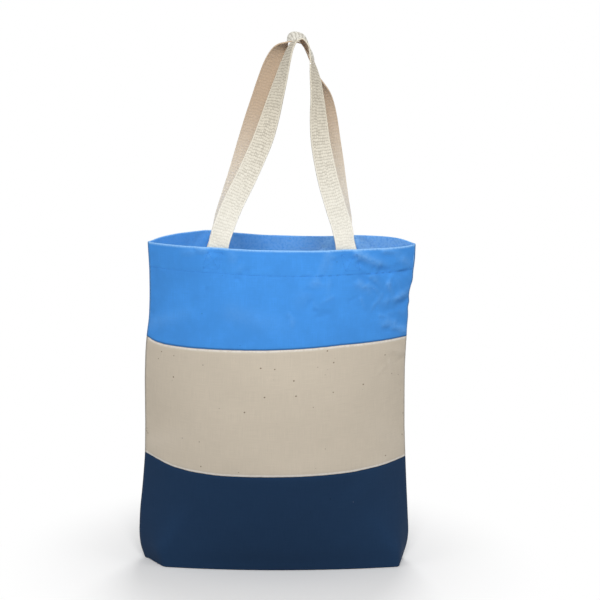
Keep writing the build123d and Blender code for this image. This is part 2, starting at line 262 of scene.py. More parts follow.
# Grooves of the sewn lines: depth and reach in mm, and the height and wave of the puckers beside them
GROOVES = {
    "lower": (0.55, 2.2, 0.16, (1.9, 1.7, 13)),
    "upper": (0.55, 2.2, 0.16, (1.9, 1.7, 13)),
    "hem": (0.2, 1.2, 0.14, (1.6, 2.1, 11)),
}
PUCKER_REACH = 5
# Puckers of the side seams: height, wave and the share of the half width they take
SIDE_PUCKER = 0.5
SIDE_WAVE = (2.7, 2, 17)
SIDE_SHARE = 0.035
# The relief sets in over this height above the floor, in mm, and this share of the half width from the sides
SETTLE_HEIGHT = 25
SETTLE_SHARE = 0.04

# Each wall stays this far from the middle plane of the bag at the sides, in mm
SEAM_GAP = 0.05
# Step of the share u over which the direction of the cloth is taken
SHARE_STEP = 0.004
# Shares among which a place across is looked up, and how many
SHARE_MOST = 0.95
SHARE_SAMPLES = 381


def bell(away, reach):
    """A soft bump that is 1 at nought and dies away over its reach"""
    return np.exp(-((away / reach) ** 2))


def wavy(place, length, sway, sway_length):
    """An uneven wave along a line"""
    return np.sin(place / length + sway * np.sin(place / sway_length))


def eased(table, at, window):
    """A smooth curve along listed pairs of place and value: the straight runs averaged over a window"""
    places, values = np.array(table, float).T
    steps = np.linspace(-window, window, EASE_STEPS)
    return sum(np.interp(at + step, places, values) for step in steps) / len(steps)


def boxed(face, u, half, depth):
    """Outline of the boxed base: a bowed front between two knees and a straight run to each side seam"""
    share = np.abs(u)
    knee_x = np.where(u < 0, *KNEE_ACROSS[face]) * half
    knee_y = KNEE_DEEP * depth
    past = np.clip((share - KNEE_SHARE) / (1 - KNEE_SHARE), 0, 1)
    before = np.clip(share / KNEE_SHARE, 0, 1)
    across = np.where(share <= KNEE_SHARE, knee_x * before, knee_x + (half - knee_x) * past)
    deep = np.where(share <= KNEE_SHARE, depth - (depth - knee_y) * before**2, knee_y * (1 - past))
    return np.sign(u) * across, deep


def outline(face, u, z):
    """Outer outline at height z: across and deep in mm, for a share u of the flat half width, -1 to 1"""
    lower = sizes()["lower_seam"]
    ripple = RIPPLE_DEPTH * wavy(z, *RIPPLE_WAVE) * bell(z - RIPPLE_AT, RIPPLE_REACH)
    ripple = ripple - TUCK_DEPTH * bell(z - TUCK_AT, TUCK_REACH)
    ripple = ripple * np.exp(-(1 - np.abs(u)) / RIPPLE_SHARE)
    half = np.where(u < 0, eased(LEFT_HALF, z, HALF_EASE), eased(RIGHT_HALF, z, HALF_EASE) + ripple)
    depth = eased(HALF_DEPTH, z, DEPTH_EASE)
    angle = 2 * np.arctan2(depth, half)
    radius = half / np.sin(angle)
    arc_x = radius * np.sin(u * angle)
    arc_y = radius * (np.cos(u * angle) - np.cos(angle))
    window = KNEE_SOFT + KNEE_SOFTER * np.clip(z / lower, 0, 1)
    window = np.minimum(window, KNEE_SIDE_ROOM * (1 - np.abs(u)))
    parts = [boxed(face, u + step * window, half, depth) for step in np.linspace(-1, 1, KNEE_STEPS)]
    box_x = sum(part[0] for part in parts) / len(parts)
    box_y = sum(part[1] for part in parts) / len(parts)
    weight = np.clip(1 - z / lower, 0, 1) ** 2
    return arc_x + (box_x - arc_x) * weight, arc_y + (box_y - arc_y) * weight


def ridge(x, z, start, end, width, height):
    """A soft fold from start to end that dies away along its length and to both sides"""
    run = np.subtract(end, start)
    along = np.clip(((x - start[0]) * run[0] + (z - start[1]) * run[1]) / run.dot(run), 0, 1)
    away = np.hypot(x - start[0] - along * run[0], z - start[1] - along * run[1])
    return height * (1 - along) ** FOLD_FADE * bell(away, width)


def cloth_waves(face, x, z):
    """Slow waves of slack cloth, as a sum of seeded sines in mm"""
    draw = np.random.default_rng(WAVE_SEED[face])
    total = np.zeros_like(x)
    for _ in range(WAVE_COUNT):
        length = draw.uniform(*WAVE_LENGTHS)
        turn = draw.uniform(0, math.pi)
        phase = draw.uniform(0, 2 * math.pi)
        bearing = (x * math.cos(turn) + z * math.sin(turn)) * 2 * math.pi / length
        total = total + WAVE_HEIGHT * length * np.sin(bearing + phase)
    return total


def creases(face):
    """Small seeded creases of the crumpled places, as folds"""
    draw = np.random.default_rng(CREASE_SEED[face])
    found = []
    for middle, reach, count in CRUMPLES[face]:
        for _ in range(count):
            start = np.array(middle) + draw.normal(0, CREASE_SPREAD * reach, 2)
            turn = draw.uniform(*CREASE_TURNS)
            length = draw.uniform(*CREASE_LENGTHS)
            end = start + length * np.array([math.cos(turn), -math.sin(turn)])
            width = draw.uniform(*CREASE_WIDTHS)
            height = draw.choice([-1, 1]) * draw.uniform(*CREASE_HEIGHTS)
            found.append((tuple(start), tuple(end), width, height))
    return found


def fold_height(face, x, z):
    """Height of the folds and the small creases, in mm"""
    return sum(ridge(x, z, *fold) for fold in (*FOLDS[face], *creases(face)))


def line_height(line, face, u):
    """Height of the base, a seam, the hem's stitching or the rim along the cloth, in mm"""
    if line == "base":
        return np.zeros_like(u)
    if line == "hem":
        return line_height("rim", face, u) - sizes()["hem"] + HEM_STITCH_UP
    size, droop, window = LINES[line]
    return sizes()[size] + eased(droop[face], u, window)


def relief(face, u, x, z):
    """How far the filled cloth stands out from its plain outline, in mm"""
    total = cloth_waves(face, x, z) + fold_height(face, x, z)
    side = 1 - np.abs(u)
    total = total + SIDE_PUCKER * wavy(z, *SIDE_WAVE) * np.exp(-side / SIDE_SHARE)
    for line, (depth, reach, pucker, wave) in GROOVES.items():
        gap = z - line_height(line, face, u)
        total = total - depth * bell(gap, reach) + pucker * wavy(x, *wave) * bell(gap, PUCKER_REACH)
    settle = np.clip(z / SETTLE_HEIGHT, 0, 1) * np.clip(side / SETTLE_SHARE, 0, 1)
    return total * settle


def cloth_point(face, u, z, inset):
    """Point of the cloth in mm: inset is measured inwards from the outer surface"""
    x, deep = outline(face, u, z)
    ahead = outline(face, np.clip(u + SHARE_STEP, -1, 1), z)
    behind = outline(face, np.clip(u - SHARE_STEP, -1, 1), z)
    run_x, run_y = ahead[0] - behind[0], ahead[1] - behind[1]
    length = np.hypot(run_x, run_y)
    inward_x, inward_y = run_y / length, -run_x / length
    drawn = inset - relief(face, u, x, z)
    x = x + inward_x * drawn
    deep = np.maximum(deep + inward_y * drawn, SEAM_GAP + inset)
    return np.stack([x, face * deep, z], axis=-1)


def share_at(face, x, z):
    """The share u at which the cloth at height z has the place x across"""
    shares = np.linspace(-SHARE_MOST, SHARE_MOST, SHARE_SAMPLES)
    return float(np.interp(x, outline(face, shares, np.full_like(shares, z))[0], shares))


# Sewn cloth panels

# One row of a panel: its share of the panel's height, an offset in mm, its inset, flat place, and wear with
# painted light (below nought, painted shade)
Row = namedtuple("Row", "share offset inset flat wear")

# Columns of every cloth grid: flank, face and the steps of the seam allowance inside the sides, in mm
FLANK_COLUMNS = 10
FACE_COLUMNS = 150
FIN_STEPS = (10.0, 7.2, 4.4, 1.8)
# The allowance starts this far inside the side and narrows upwards: it ends this far below the hem, over
# this height, all in mm, and keeps this share
FIN_START = 0.6
FIN_BELOW_HEM = 2
FIN_NARROWING = 8
FIN_LEAST = 0.12

# Painted highlight on a fold's crest for each mm of its height, and at most, and wear of the side seams
CREST_HIGHLIGHT = 0.1
CREST_HIGHLIGHT_MOST = 0.35
SIDE_WEAR = 0.5

# A pressed-open seam: depth of its turned-in cloth in layers, and its rows by their reach in mm
SEAM_UNDER = 1.55
SEAM_REACHES = (7.5, 5, 2.5, 1.2)
# The turn of a seam, row by row: reach in mm, depth in layers, flat place past the turn in mm, and the
# painted shade of the seam's groove
SEAM_TURN = ((0.6, 1.45, -0.8, -0.6), (0.3, 1.2, -0.4, -1), (0.24, 0.9, 0, -1), (0.45, 0.6, 0.3, -0.7))
# The open face of a panel starts this far from its turns, in mm
FACE_EDGE = 0.9

# The hem's turn over the rim, row by row: height from the rim, depth in layers, flat place past it, and wear
# with a painted highlight along the rim's fold
HEM_OVER = (
    (-0.5, 0.55, 0, 1.2), (-0.14, 0.95, 0.4, 1.5), (0, 1.5, 0.9, 1.5), (-0.14, 2.1, 1.4, 1.3),
    (-0.5, 2.5, 1.8, 0.4),
)
# The hem's turn at its lower edge, in the same way
HEM_UNDER = ((0.3, 2.4, 1.2, 0.5), (0, 2.05, 1.6, 0.6), (0.3, 1.7, 2, 0.3))
# The hem's inner face: depth in layers, rows, first drop in mm, painted light that makes the inside paler,
# and how that grows from left to right
HEM_INSIDE = 2.55
HEM_ROWS = 14
HEM_FIRST = 1.4
HEM_INSIDE_LIGHT = 0.3
INSIDE_LIGHT = ((-0.5, 0.5), (0.5, 2.2))
# The raw edge turned in under the hem: depth in layers, flat place past it and rows above its lower edge
TURN_IN_DEPTH = 1.55
TURN_IN_FLAT = 2
TURN_IN_ROWS = (1.4, 4, 7, 9)
# Painted shade in dashes along the hem's stitching, where it puckers: waves in mm, strength by share of the
# half width, and reach
DASH_WAVES = ((9.5, 2.3), (23, 1.7))
DASH_LENGTH = 2.1
DASH_START = 0.15
DASH_STRENGTH = ((-0.9, -0.2, 0.15, 0.5, 0.95), (0.25, 0.2, 0.4, 0.95, 0.9))
DASH_REACH = 0.75

# The top panel: rows, the painted shade of its bottom edge and the wear and painted highlight of its top
# edge, and the row of painted shade above its seam
TOP_ROWS = 66
TOP_EDGE_SHADING = (-1, 0.6)
TOP_GROOVE_OFFSET = 1.6
TOP_GROOVE_FLAT = 0.7
TOP_GROOVE_SHADE = -0.8
# Closer rows about the hem's stitching, by their height from it in mm
NEAR_HEM = (-2.2, -1.3, -0.6, 0, 0.6, 1.3, 2.2)
# The middle panel: rows and the painted highlights along its two edges
MIDDLE_ROWS = 60
MIDDLE_EDGE_HIGHLIGHTS = (2.2, 1.2)
# The fold between the base and a navy wall, row by row: height and inset in mm, flat place and wear
FLOOR_TURN = ((1.0, 1.6, 1, 0.8), (2.1, 0.85, 2.2, 0.5))
# Its first row, on the floor: inset in mm and wear
FLOOR_INSET = 3.0
FLOOR_WEAR = 0.5
# The wall's open face: the height and flat place where it starts, in mm, and its rows
WALL_START = 3.8
WALL_FLAT = 4
WALL_ROWS = 46
# Points of the navy walls and the base that lie closer than this are one, in mm
JOIN_NEAR = 0.02


def flank_shares(side):
    """Shares of the columns of one flank, from the knee to the side seam"""
    return side * np.linspace(KNEE_SHARE, 1, FLANK_COLUMNS + 1)


def columns():
    """Columns of a cloth panel: the share u and the reach past the side seam in mm"""
    face_part = np.linspace(-KNEE_SHARE, KNEE_SHARE, FACE_COLUMNS + 1)
    body = np.concatenate([flank_shares(-1)[:0:-1], face_part, flank_shares(1)[1:]])
    u = np.concatenate([np.full(len(FIN_STEPS), -1.0), body, np.full(len(FIN_STEPS), 1.0)])
    past = np.concatenate([FIN_STEPS, np.zeros(len(body)), FIN_STEPS[::-1]])
    return u, past


def row_points(face, u, past, z, inset):
    """One row of a panel, with the seam allowance turned in at both sides"""
    points = cloth_point(face, u, z, inset)
    fins = past > 0
    under = line_height("rim", face, u) - sizes()["hem"] - FIN_BELOW_HEM - z
    room = np.clip(under / FIN_NARROWING, FIN_LEAST, 1)
    points[fins, 0] -= (np.sign(u) * (FIN_START + past * room))[fins]
    points[fins, 1] = face * (SEAM_GAP + inset)
    return points


def seam_rows(end, flat):
    """Rows of the pressed-open seam at the bottom (0) or the top (1) of a panel, in the cloth's order"""
    held = sizes()
    cloth = held["cloth"]
    way = 1 if end == 0 else -1
    reaches = (held["allowance"], *SEAM_REACHES)
    rows = [Row(end, way * reach, SEAM_UNDER * cloth, flat - way * reach, 0) for reach in reaches]
    for reach, layers, past, wear in SEAM_TURN:
        rows.append(Row(end, way * reach, layers * cloth, flat + way * past, wear))
    return rows if end == 0 else rows[::-1]


def face_rows(length, count, wears_and_painted_light, extra=()):
    """Rows of the open face of a panel between its two turns, with the wear and painted light of its bottom
    and top edge
    """
    inset = sizes()["cloth"] / 2
    held = {0: wears_and_painted_light[0], 1: wears_and_painted_light[1]}
    shares = sorted(set(np.linspace(0, 1, count)) | {1 - below / length for below in extra})
    rows = []
    for share in shares:
        offset = FACE_EDGE * (1 - 2 * share)
        rows.append(Row(share, offset, inset, share * length, held.get(share, 0)))
    return rows


def hem_rows(flat):
    """Rows of the turned hem: over the rim, down inside and back up behind its own raw edge"""
    held = sizes()
    hem, cloth = held["hem"], held["cloth"]
    rows = [Row(1, up, layers * cloth, flat + past, wear) for up, layers, past, wear in HEM_OVER]
    for below in np.linspace(HEM_FIRST, hem - 1, HEM_ROWS):
        rows.append(Row(1, -below, HEM_INSIDE * cloth, flat + HEM_FIRST + below, HEM_INSIDE_LIGHT))
    for up, layers, past, wear in HEM_UNDER:
        rows.append(Row(1, up - hem, layers * cloth, flat + hem + past, wear))
    for up in TURN_IN_ROWS:
        rows.append(Row(1, up - hem, TURN_IN_DEPTH * cloth, flat + hem + TURN_IN_FLAT + up, 0))
    return rows


def wall_rows(length):
    """Rows of a navy wall from the fold of the base to the lower seam"""
    half = sizes()["cloth"] / 2
    rows = [Row(0, half, FLOOR_INSET, 0, FLOOR_WEAR)]
    rows += [Row(0, *turn) for turn in FLOOR_TURN]
    for share in np.linspace(0, 1, WALL_ROWS):
        offset = WALL_START - (WALL_START + FACE_EDGE) * share
        rows.append(Row(share, offset, half, WALL_FLAT + share * (length - WALL_FLAT), 0))
    return rows + seam_rows(1, length)


def hem_pucker_shade(u, x, gap):
    """Painted shade in dashes where the hem's stitching puckers the cloth, as values below nought, by the
    gap in mm
    """
    turn = x / DASH_LENGTH + sum(sway * np.sin(x / length) for length, sway in DASH_WAVES)
    dash = np.clip(DASH_START + np.sin(turn), 0, 1)
    return -dash * np.interp(u, *DASH_STRENGTH) * bell(gap, DASH_REACH)


def new_sheet(value_name):
    """An empty bmesh with layers for the place on the flat cloth and for one value of its points"""
    bm = bmesh.new()
    return bm, (bm.loops.layers.uv.new("Flat"), bm.verts.layers.float.new(value_name))


def cloth_grid(bm, layers, points, flats, values, flip=False):
    """A grid sheet whose points, flat places and values are given by row and column"""
    rows, across = points.shape[:2]
    made = bmesh.ops.create_grid(bm, x_segments=across - 1, y_segments=rows - 1, size=1)["verts"]
    uv_layer, value_layer = layers
    place = {}
    for vert in made:
        column = round((vert.co.x + 1) / 2 * (across - 1))
        row = round((vert.co.y + 1) / 2 * (rows - 1))
        place[vert] = (row, column)
    for vert, (row, column) in place.items():
        vert.co = points[row, column] * MM
        vert[value_layer] = values[row, column]
    faces = {face for vert in made for face in vert.link_faces}
    for face in faces:
        for loop in face.loops:
            row, column = place[loop.vert]
            loop[uv_layer].uv = flats[row, column] * MM
    if flip:
        bmesh.ops.reverse_faces(bm, faces=list(faces))


def panel_grid(bm, layers, face, bottom, top, rows):
    """One sewn panel between two lines of the bag"""
    held = sizes()
    u, past = columns()
    low, high = line_height(bottom, face, u), line_height(top, face, u)
    flat_x = u * held["flat_width"] / 2 + np.sign(u) * past
    edge = np.where(np.abs(u) == 1, SIDE_WEAR * (past == 0), 0)
    points, flats, wears_and_painted_light = [], [], []
    for row in rows:
        z = low + row.share * (high - low) + row.offset
        points.append(row_points(face, u, past, z, row.inset))
        flats.append(np.stack([flat_x, np.full_like(u, row.flat)], axis=-1))
        x = points[-1][:, 0]
        # Painted highlight along the crests of the folds
        crest = np.clip(CREST_HIGHLIGHT * fold_height(face, x, z), 0, CREST_HIGHLIGHT_MOST)
        wear = np.where(row.wear < 0, row.wear, np.maximum(edge, row.wear) + crest)
        # Painted shade in the puckers along the hem's stitching
        if top == "rim" and row.inset == held["cloth"] / 2:
            wear = wear + hem_pucker_shade(u, x, z - line_height("hem", face, u))
        # Painted light: the inside of the hem is paler, more so to the right
        if row.inset == HEM_INSIDE * held["cloth"]:
            wear = wear * np.interp(u, *INSIDE_LIGHT)
        wears_and_painted_light.append(wear)
    cloth_grid(bm, layers, np.array(points), np.array(flats), np.array(wears_and_painted_light), flip=face == BACK)


def base_grid(bm, layers, rows_at_floor):
    """The boxed base between the bottom rows of the front and back walls"""
    held = sizes()
    u, past = columns()
    front, back = rows_at_floor
    body = np.nonzero(past == 0)[0]
    face_part = body[FLANK_COLUMNS:-FLANK_COLUMNS]
    left = np.concatenate([front[body[: FLANK_COLUMNS + 1]][::-1], back[body[: FLANK_COLUMNS + 1]]])
    right = np.concatenate([front[body[-FLANK_COLUMNS - 1 :]], back[body[-FLANK_COLUMNS - 1 :]][::-1]])
    blend = np.linspace(0, 1, len(face_part))[:, None]
    bows = []
    for wall in (front, back):
        edge = wall[face_part]
        bows.append(edge - (edge[0] + (edge[-1] - edge[0]) * blend))
    points, flats = [], []
    for index in range(len(left)):
        share = index / (len(left) - 1)
        row = left[index] + (right[index] - left[index]) * blend
        points.append(row + bows[0] * (1 - share) + bows[1] * share)
        flat_y = np.full(len(face_part), -share * held["gusset"])
        flats.append(np.stack([u[face_part] * held["flat_width"] / 2, flat_y], axis=-1))
    points = np.array(points)
    cloth_grid(bm, layers, points, np.array(flats), np.zeros(points.shape[:2]), flip=True)


def make_piece(name, bm, material):
    """A mesh object at the origin from a finished bmesh, with smooth faces"""
    mesh = bpy.data.meshes.new(name)
    bm.to_mesh(mesh)
    bm.free()
    mesh.polygons.foreach_set("use_smooth", [True] * len(mesh.polygons))
    mesh.materials.append(material)
    piece = bpy.data.objects.new(name, mesh)
    bpy.context.scene.collection.objects.link(piece)
    return piece


def thicken(piece, thickness):
    """Gives a sheet its thickness, half to each side"""
    solid = piece.modifiers.new("Thickness", "SOLIDIFY")
    solid.thickness = thickness * MM
    solid.offset = 0
    return solid


def fix_to_bag(piece, node=None):
    """Fixes a piece to the bag, and in place of its CAD node where it has one"""
    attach(piece, "bag")
    if node:
        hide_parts(node)


def finish_panel(bm, name, band, node):
    """A cloth panel of one of the three bands, with its thickness, fixed to the bag"""
    piece = make_piece(name, bm, canvas_material(band))
    thicken(piece, sizes()["cloth"])
    fix_to_bag(piece, node)
    return piece


# Nodes and shared effects of the materials


def put(tree, socket, value):
    """Links a socket to a socket, or sets its value"""
    if isinstance(value, bpy.types.NodeSocket):
        tree.links.new(value, socket)
    else:
        socket.default_value = value


def calc(tree, operation, *values, clamp=False):
    """A Math node's output"""
    node = tree.nodes.new("ShaderNodeMath")
    node.operation = operation
    node.use_clamp = clamp
    for socket, value in zip(node.inputs, values):
        put(tree, socket, value)
    return node.outputs[0]


def times(tree, first, second):
    """The product of two values"""
    return calc(tree, "MULTIPLY", first, second)


def stretch(tree, vector, scale):
    """A vector scaled along its axes"""
    node = tree.nodes.new("ShaderNodeVectorMath")
    node.operation = "MULTIPLY"
    put(tree, node.inputs[0], vector)
    put(tree, node.inputs[1], scale)
    return node.outputs[0]


def noise(tree, vector, scale, detail=2.0, rough=0.5):
    """A Noise Texture's value"""
    node = tree.nodes.new("ShaderNodeTexNoise")
    put(tree, node.inputs["Vector"], vector)
    put(tree, node.inputs["Scale"], scale)
    node.inputs["Detail"].default_value = detail
    node.inputs["Roughness"].default_value = rough
    return node.outputs["Fac"]


def ramp(tree, value, low, high, out_low=0.0, out_high=1.0):
    """A value taken smoothly from one range to another"""
    node = tree.nodes.new("ShaderNodeMapRange")
    node.interpolation_type = "SMOOTHSTEP"
    put(tree, node.inputs["Value"], value)
    node.inputs["From Min"].default_value = low
    node.inputs["From Max"].default_value = high
    node.inputs["To Min"].default_value = out_low
    node.inputs["To Max"].default_value = out_high
    return node.outputs["Result"]


def tint(tree, factor, first, second):
    """A Mix node's colour"""
    node = tree.nodes.new("ShaderNodeMix")
    node.data_type = "RGBA"
    put(tree, node.inputs[0], factor)
    put(tree, node.inputs[6], first)
    put(tree, node.inputs[7], second)
    return node.outputs[2]


def split(tree, vector):
    """The parts of a vector"""
    node = tree.nodes.new("ShaderNodeSeparateXYZ")
    put(tree, node.inputs[0], vector)
    return node.outputs


# Plain weave: scale of the patches in which threads wander, and how far they do. Thick and thin runs of
# thread: cells for each metre across and along them, and the range of their tone
WANDER_SCALE = 260.0
WANDER = 2.4
RUN_FINE = 1500.0
RUN_LONG = 45.0
RUN_RANGE = (0.36, 0.64)
# Height of the crossings and of the runs, as shares of the bump
CROSSING_HEIGHT = 0.25
RUN_HEIGHT = 0.7


def weave(group, place, density, result):
    """Plain weave: the height of its crossings and the tone of thick and thin threads"""
    wander = times(group, noise(group, place, WANDER_SCALE, 1.0), WANDER)
    parts = split(group, place)
    waves = []
    for axis in (0, 1):
        turn = calc(group, "ADD", times(group, parts[axis], density), wander)
        waves.append(calc(group, "SINE", times(group, turn, math.pi)))
    crossing = calc(group, "MULTIPLY_ADD", times(group, *waves), CROSSING_HEIGHT, 0.5)
    warp = noise(group, stretch(group, place, (RUN_FINE, RUN_LONG, 1.0)), 1.0)
    weft = noise(group, stretch(group, place, (RUN_LONG, RUN_FINE, 1.0)), 1.0)
    runs = calc(group, "ADD", times(group, warp, 0.5), times(group, weft, 0.5))
    put(group, result["Height"], calc(group, "ADD", crossing, times(group, runs, RUN_HEIGHT)))
    put(group, result["Tone"], ramp(group, runs, *RUN_RANGE))


# Flecks by kind: cells for each metre across and along, size of the fleck in its cell and shift of the cells
FLECKS = {
    "Seeds": ((78.0, 92.0, 1.0), 0.11, 0.0),
    "Lint": ((150.0, 60.0, 1.0), 0.055, 3.7),
}
# A fleck is full within this share of its size
FLECK_CORE = 0.45


def flecks(group, place, share, result):
    """Dark seed flecks and pale lint, scattered on the cloth in a share of the cells"""
    for kind, (scale, size, shift) in FLECKS.items():
        moved = group.nodes.new("ShaderNodeVectorMath")
        moved.inputs[1].default_value = (shift, shift, 0.0)
        put(group, moved.inputs[0], stretch(group, place, scale))
        cells = group.nodes.new("ShaderNodeTexVoronoi")
        cells.inputs["Scale"].default_value = 1.0
        put(group, cells.inputs["Vector"], moved.outputs[0])
        spot = ramp(group, cells.outputs["Distance"], size, size * FLECK_CORE)
        parts = group.nodes.new("ShaderNodeSeparateColor")
        put(group, parts.inputs[0], cells.outputs["Color"])
        chosen = calc(group, "LESS_THAN", parts.outputs[0], share)
        put(group, result[kind], times(group, spot, chosen))


# Patches of rubbed cloth and painted light, and of shade: cells for each metre, detail and roughness, and
# range of the mask
RUB_NOISE = (330.0, 3.0)
RUB_RANGE = (0.3, 0.6, 0.45, 1.0)
SHADE_NOISE = (19.0, 7.0, 0.66)
SHADE_RANGE = (0.34, 0.66)


def worn_folds_and_painted_light(group, place, fold, result):
    """Rubbed folds with painted highlights and painted light, painted shade in grooves and puckers, and the
    slow change of tone of washed cloth
    """
    patchy = ramp(group, noise(group, place, *RUB_NOISE), *RUB_RANGE)
    put(group, result["Rubbed"], calc(group, "MULTIPLY", fold, patchy, clamp=True))
    put(group, result["Groove"], calc(group, "MULTIPLY", fold, -1.0, clamp=True))
    put(group, result["Shade"], ramp(group, noise(group, place, *SHADE_NOISE), *SHADE_RANGE))


# Fibres and strands of the webbing: cells for each metre across and along
FIBRE_SCALE = (2600.0, 900.0, 1.0)
STRAND_SCALE = (1700.0, 260.0, 1.0)
FIBRE_DETAIL = 3.0
# Ranges of the yarns' height that gets the painted shade of a hollow, and of the strands' tone
HOLLOW_RANGE = (0.66, 0.17)
STRAND_RANGE = (0.35, 0.65)


def webbing_yarns(group, place, crest, result):
    """Heavy webbing: the painted shade in the hollows between its fat yarns, and the fibres along them"""
    fibre = noise(group, stretch(group, place, FIBRE_SCALE), 1.0, FIBRE_DETAIL)
    strands = noise(group, stretch(group, place, STRAND_SCALE), 1.0)
    put(group, result["Height"], calc(group, "ADD", fibre, strands))
    put(group, result["Hollow"], ramp(group, crest, *HOLLOW_RANGE))
    put(group, result["Fibre"], ramp(group, strands, *STRAND_RANGE))


# Shared effects: what fills the group, its own input beside the flat place, and its outputs
EFFECTS = {
    "Plain weave": (weave, "Threads per metre", ("Height", "Tone")),
    "Cotton flecks": (flecks, "Share", ("Seeds", "Lint")),
    "Worn folds": (worn_folds_and_painted_light, "Fold", ("Rubbed", "Groove", "Shade")),
    "Webbing yarns": (webbing_yarns, "Crest", ("Height", "Hollow", "Fibre")),
}


def effect_group(name):
    """The shader node group of a shared effect, made on its first use"""
    if name in bpy.data.node_groups:
        return bpy.data.node_groups[name]
    fill, value_name, outputs = EFFECTS[name]
    group = bpy.data.node_groups.new(name, "ShaderNodeTree")
    group.interface.new_socket("Flat place", in_out="INPUT", socket_type="NodeSocketVector")
    group.interface.new_socket(value_name, in_out="INPUT", socket_type="NodeSocketFloat")
    for label in outputs:
        group.interface.new_socket(label, in_out="OUTPUT", socket_type="NodeSocketFloat")
    given = group.nodes.new("NodeGroupInput").outputs
    fill(group, given["Flat place"], given[value_name], group.nodes.new("NodeGroupOutput").inputs)
    return group


def effect(tree, name, place, value):
    """A shared effect placed in a material, with its own value"""
    node = tree.nodes.new("ShaderNodeGroup")
    node.node_tree = effect_group(name)
    put(tree, node.inputs["Flat place"], place)
    put(tree, node.inputs[EFFECTS[name][1]], value)
    return node.outputs


# Materials

# Plain values that all cotton shares
COTTON = {
    "Roughness": 0.88, "Specular IOR Level": 0.12, "Sheen Weight": 0.02, "Sheen Roughness": 0.5,
}
# Bumps: strength, and distance in metres
CANVAS_BUMP = (0.55, 0.0003)
WEBBING_BUMP = (0.35, 0.0002)
THREAD_BUMP = (0.4, 0.0001)
THREADS_PER_METRE = 1250.0
# Roughness of canvas in its thin and its thick threads
CANVAS_ROUGH = (0.93, 0.84)
# How strongly each effect colours canvas, and how dark its shade and the painted shade of its grooves and
# how pale its lint are
SHADE_DARK = 0.12
GROOVE_SHADE_SHARE = 0.8
GROOVE_SHADE_DARK = 0.55
LINT_SHARE = 0.5
LINT_PALE = 0.35
SEED_SHARE = 0.85
RUBBED_AND_LIT_SHARE = 0.8
# Rubbed blue, also used for the painted highlights and painted light on the blue
BLUE_RUBBED_AND_LIT = (0.32, 0.6, 0.95, 1)
SEED_BROWN = (0.13, 0.085, 0.05, 1)


def made_material(name, fill, *values):
    """The material of a name, made on its first use around one Principled shader"""
    if name not in bpy.data.materials:
        material = bpy.data.materials.new(name)
        material.use_nodes = True
        fill(material.node_tree, material.node_tree.nodes["Principled BSDF"], *values)
    return bpy.data.materials[name]


def lighter(value, share):
    """A colour taken part of the way to white"""
    return tuple(part + (1 - part) * share for part in value[:3]) + (1.0,)


def darker(value, share):
    """A colour taken part of the way to black, or made stronger by a share below nought"""
    return tuple(part * (1 - share) for part in value[:3]) + (1.0,)


def cotton(tree, shader, tone, height, strength, distance):
    """Sets the plain values of cotton, its colour and its bump"""
    for label, value in COTTON.items():
        shader.inputs[label].default_value = value
    put(tree, shader.inputs["Base Color"], tone)
    bump = tree.nodes.new("ShaderNodeBump")
    bump.inputs["Strength"].default_value = strength
    bump.inputs["Distance"].default_value = distance
    put(tree, bump.inputs["Height"], height)
    put(tree, shader.inputs["Normal"], bump.outputs["Normal"])


def flat_place(tree):
    """The place on the flat cloth, in metres"""
    node = tree.nodes.new("ShaderNodeUVMap")
    node.uv_map = "Flat"
    return node.outputs[0]


def held_value(tree, name):
    """A value held by the mesh's points"""
    node = tree.nodes.new("ShaderNodeAttribute")
    node.attribute_name = name
    return node.outputs["Fac"]


# Look of a canvas: tone from thread to thread, share of shade, seeds, their colour, lint, and the colour of
# rubbed places and painted highlights
Canvas = namedtuple("Canvas", "thread_tone shade seeds seed_colour lint rubbed")


def canvas_look(band, base):
    """The look of one band's canvas"""
    if band == "blue":
        return Canvas(0.06, 1.0, 0.2, darker(base, 0.45), 0.25, BLUE_RUBBED_AND_LIT)
    if band == "natural":
        return Canvas(0.05, 0.2, 0.62, SEED_BROWN, 0.4, lighter(base, 0.5))
    return Canvas(0.03, 0.2, 0.05, darker(base, 0.5), 0.02, darker(base, -1.2))


def canvas(tree, shader, band):
    """Canvas with the tone of its threads, its flecks, its rubbed folds with painted highlights and painted
    light, and painted shade in its grooves
    """
    base = picked(band)
    look = canvas_look(band, base)
    place = flat_place(tree)
    cloth = effect(tree, "Plain weave", place, THREADS_PER_METRE)
    seeds = effect(tree, "Cotton flecks", place, look.seeds)["Seeds"]
    lint = effect(tree, "Cotton flecks", place, look.lint)["Lint"]
    worn_and_lit = effect(tree, "Worn folds", place, held_value(tree, "wear"))
    tone = tint(tree, cloth["Tone"], darker(base, look.thread_tone), darker(base, -look.thread_tone / 2))
    for mask, share, over in (
        (worn_and_lit["Shade"], look.shade, darker(base, SHADE_DARK)),
        (worn_and_lit["Groove"], GROOVE_SHADE_SHARE, darker(base, GROOVE_SHADE_DARK)),
        (lint, LINT_SHARE, lighter(base, LINT_PALE)),
        (seeds, SEED_SHARE, look.seed_colour),
        (worn_and_lit["Rubbed"], RUBBED_AND_LIT_SHARE, look.rubbed),
    ):
        tone = tint(tree, times(tree, mask, share), tone, over)
    cotton(tree, shader, tone, cloth["Height"], *CANVAS_BUMP)
    put(tree, shader.inputs["Roughness"], ramp(tree, cloth["Tone"], 0, 1, *CANVAS_ROUGH))


def canvas_material(band):
    """Canvas of the blue, natural or navy band"""
    return made_material(f"{band.capitalize()} canvas", canvas, band)


# Webbing: distances from the strap's middle, in metres, where the painted shade towards the top of the
# handle begins and where it is full
SHADE_FROM = 0.27
SHADE_FULL = 0.07
# The distance at which the painted shade of the hollows is strongest, and its shares away from the strap's
# middle and near it
HOLLOW_FULL = 0.12
HOLLOW_SHARES = (0.45, 1.2)
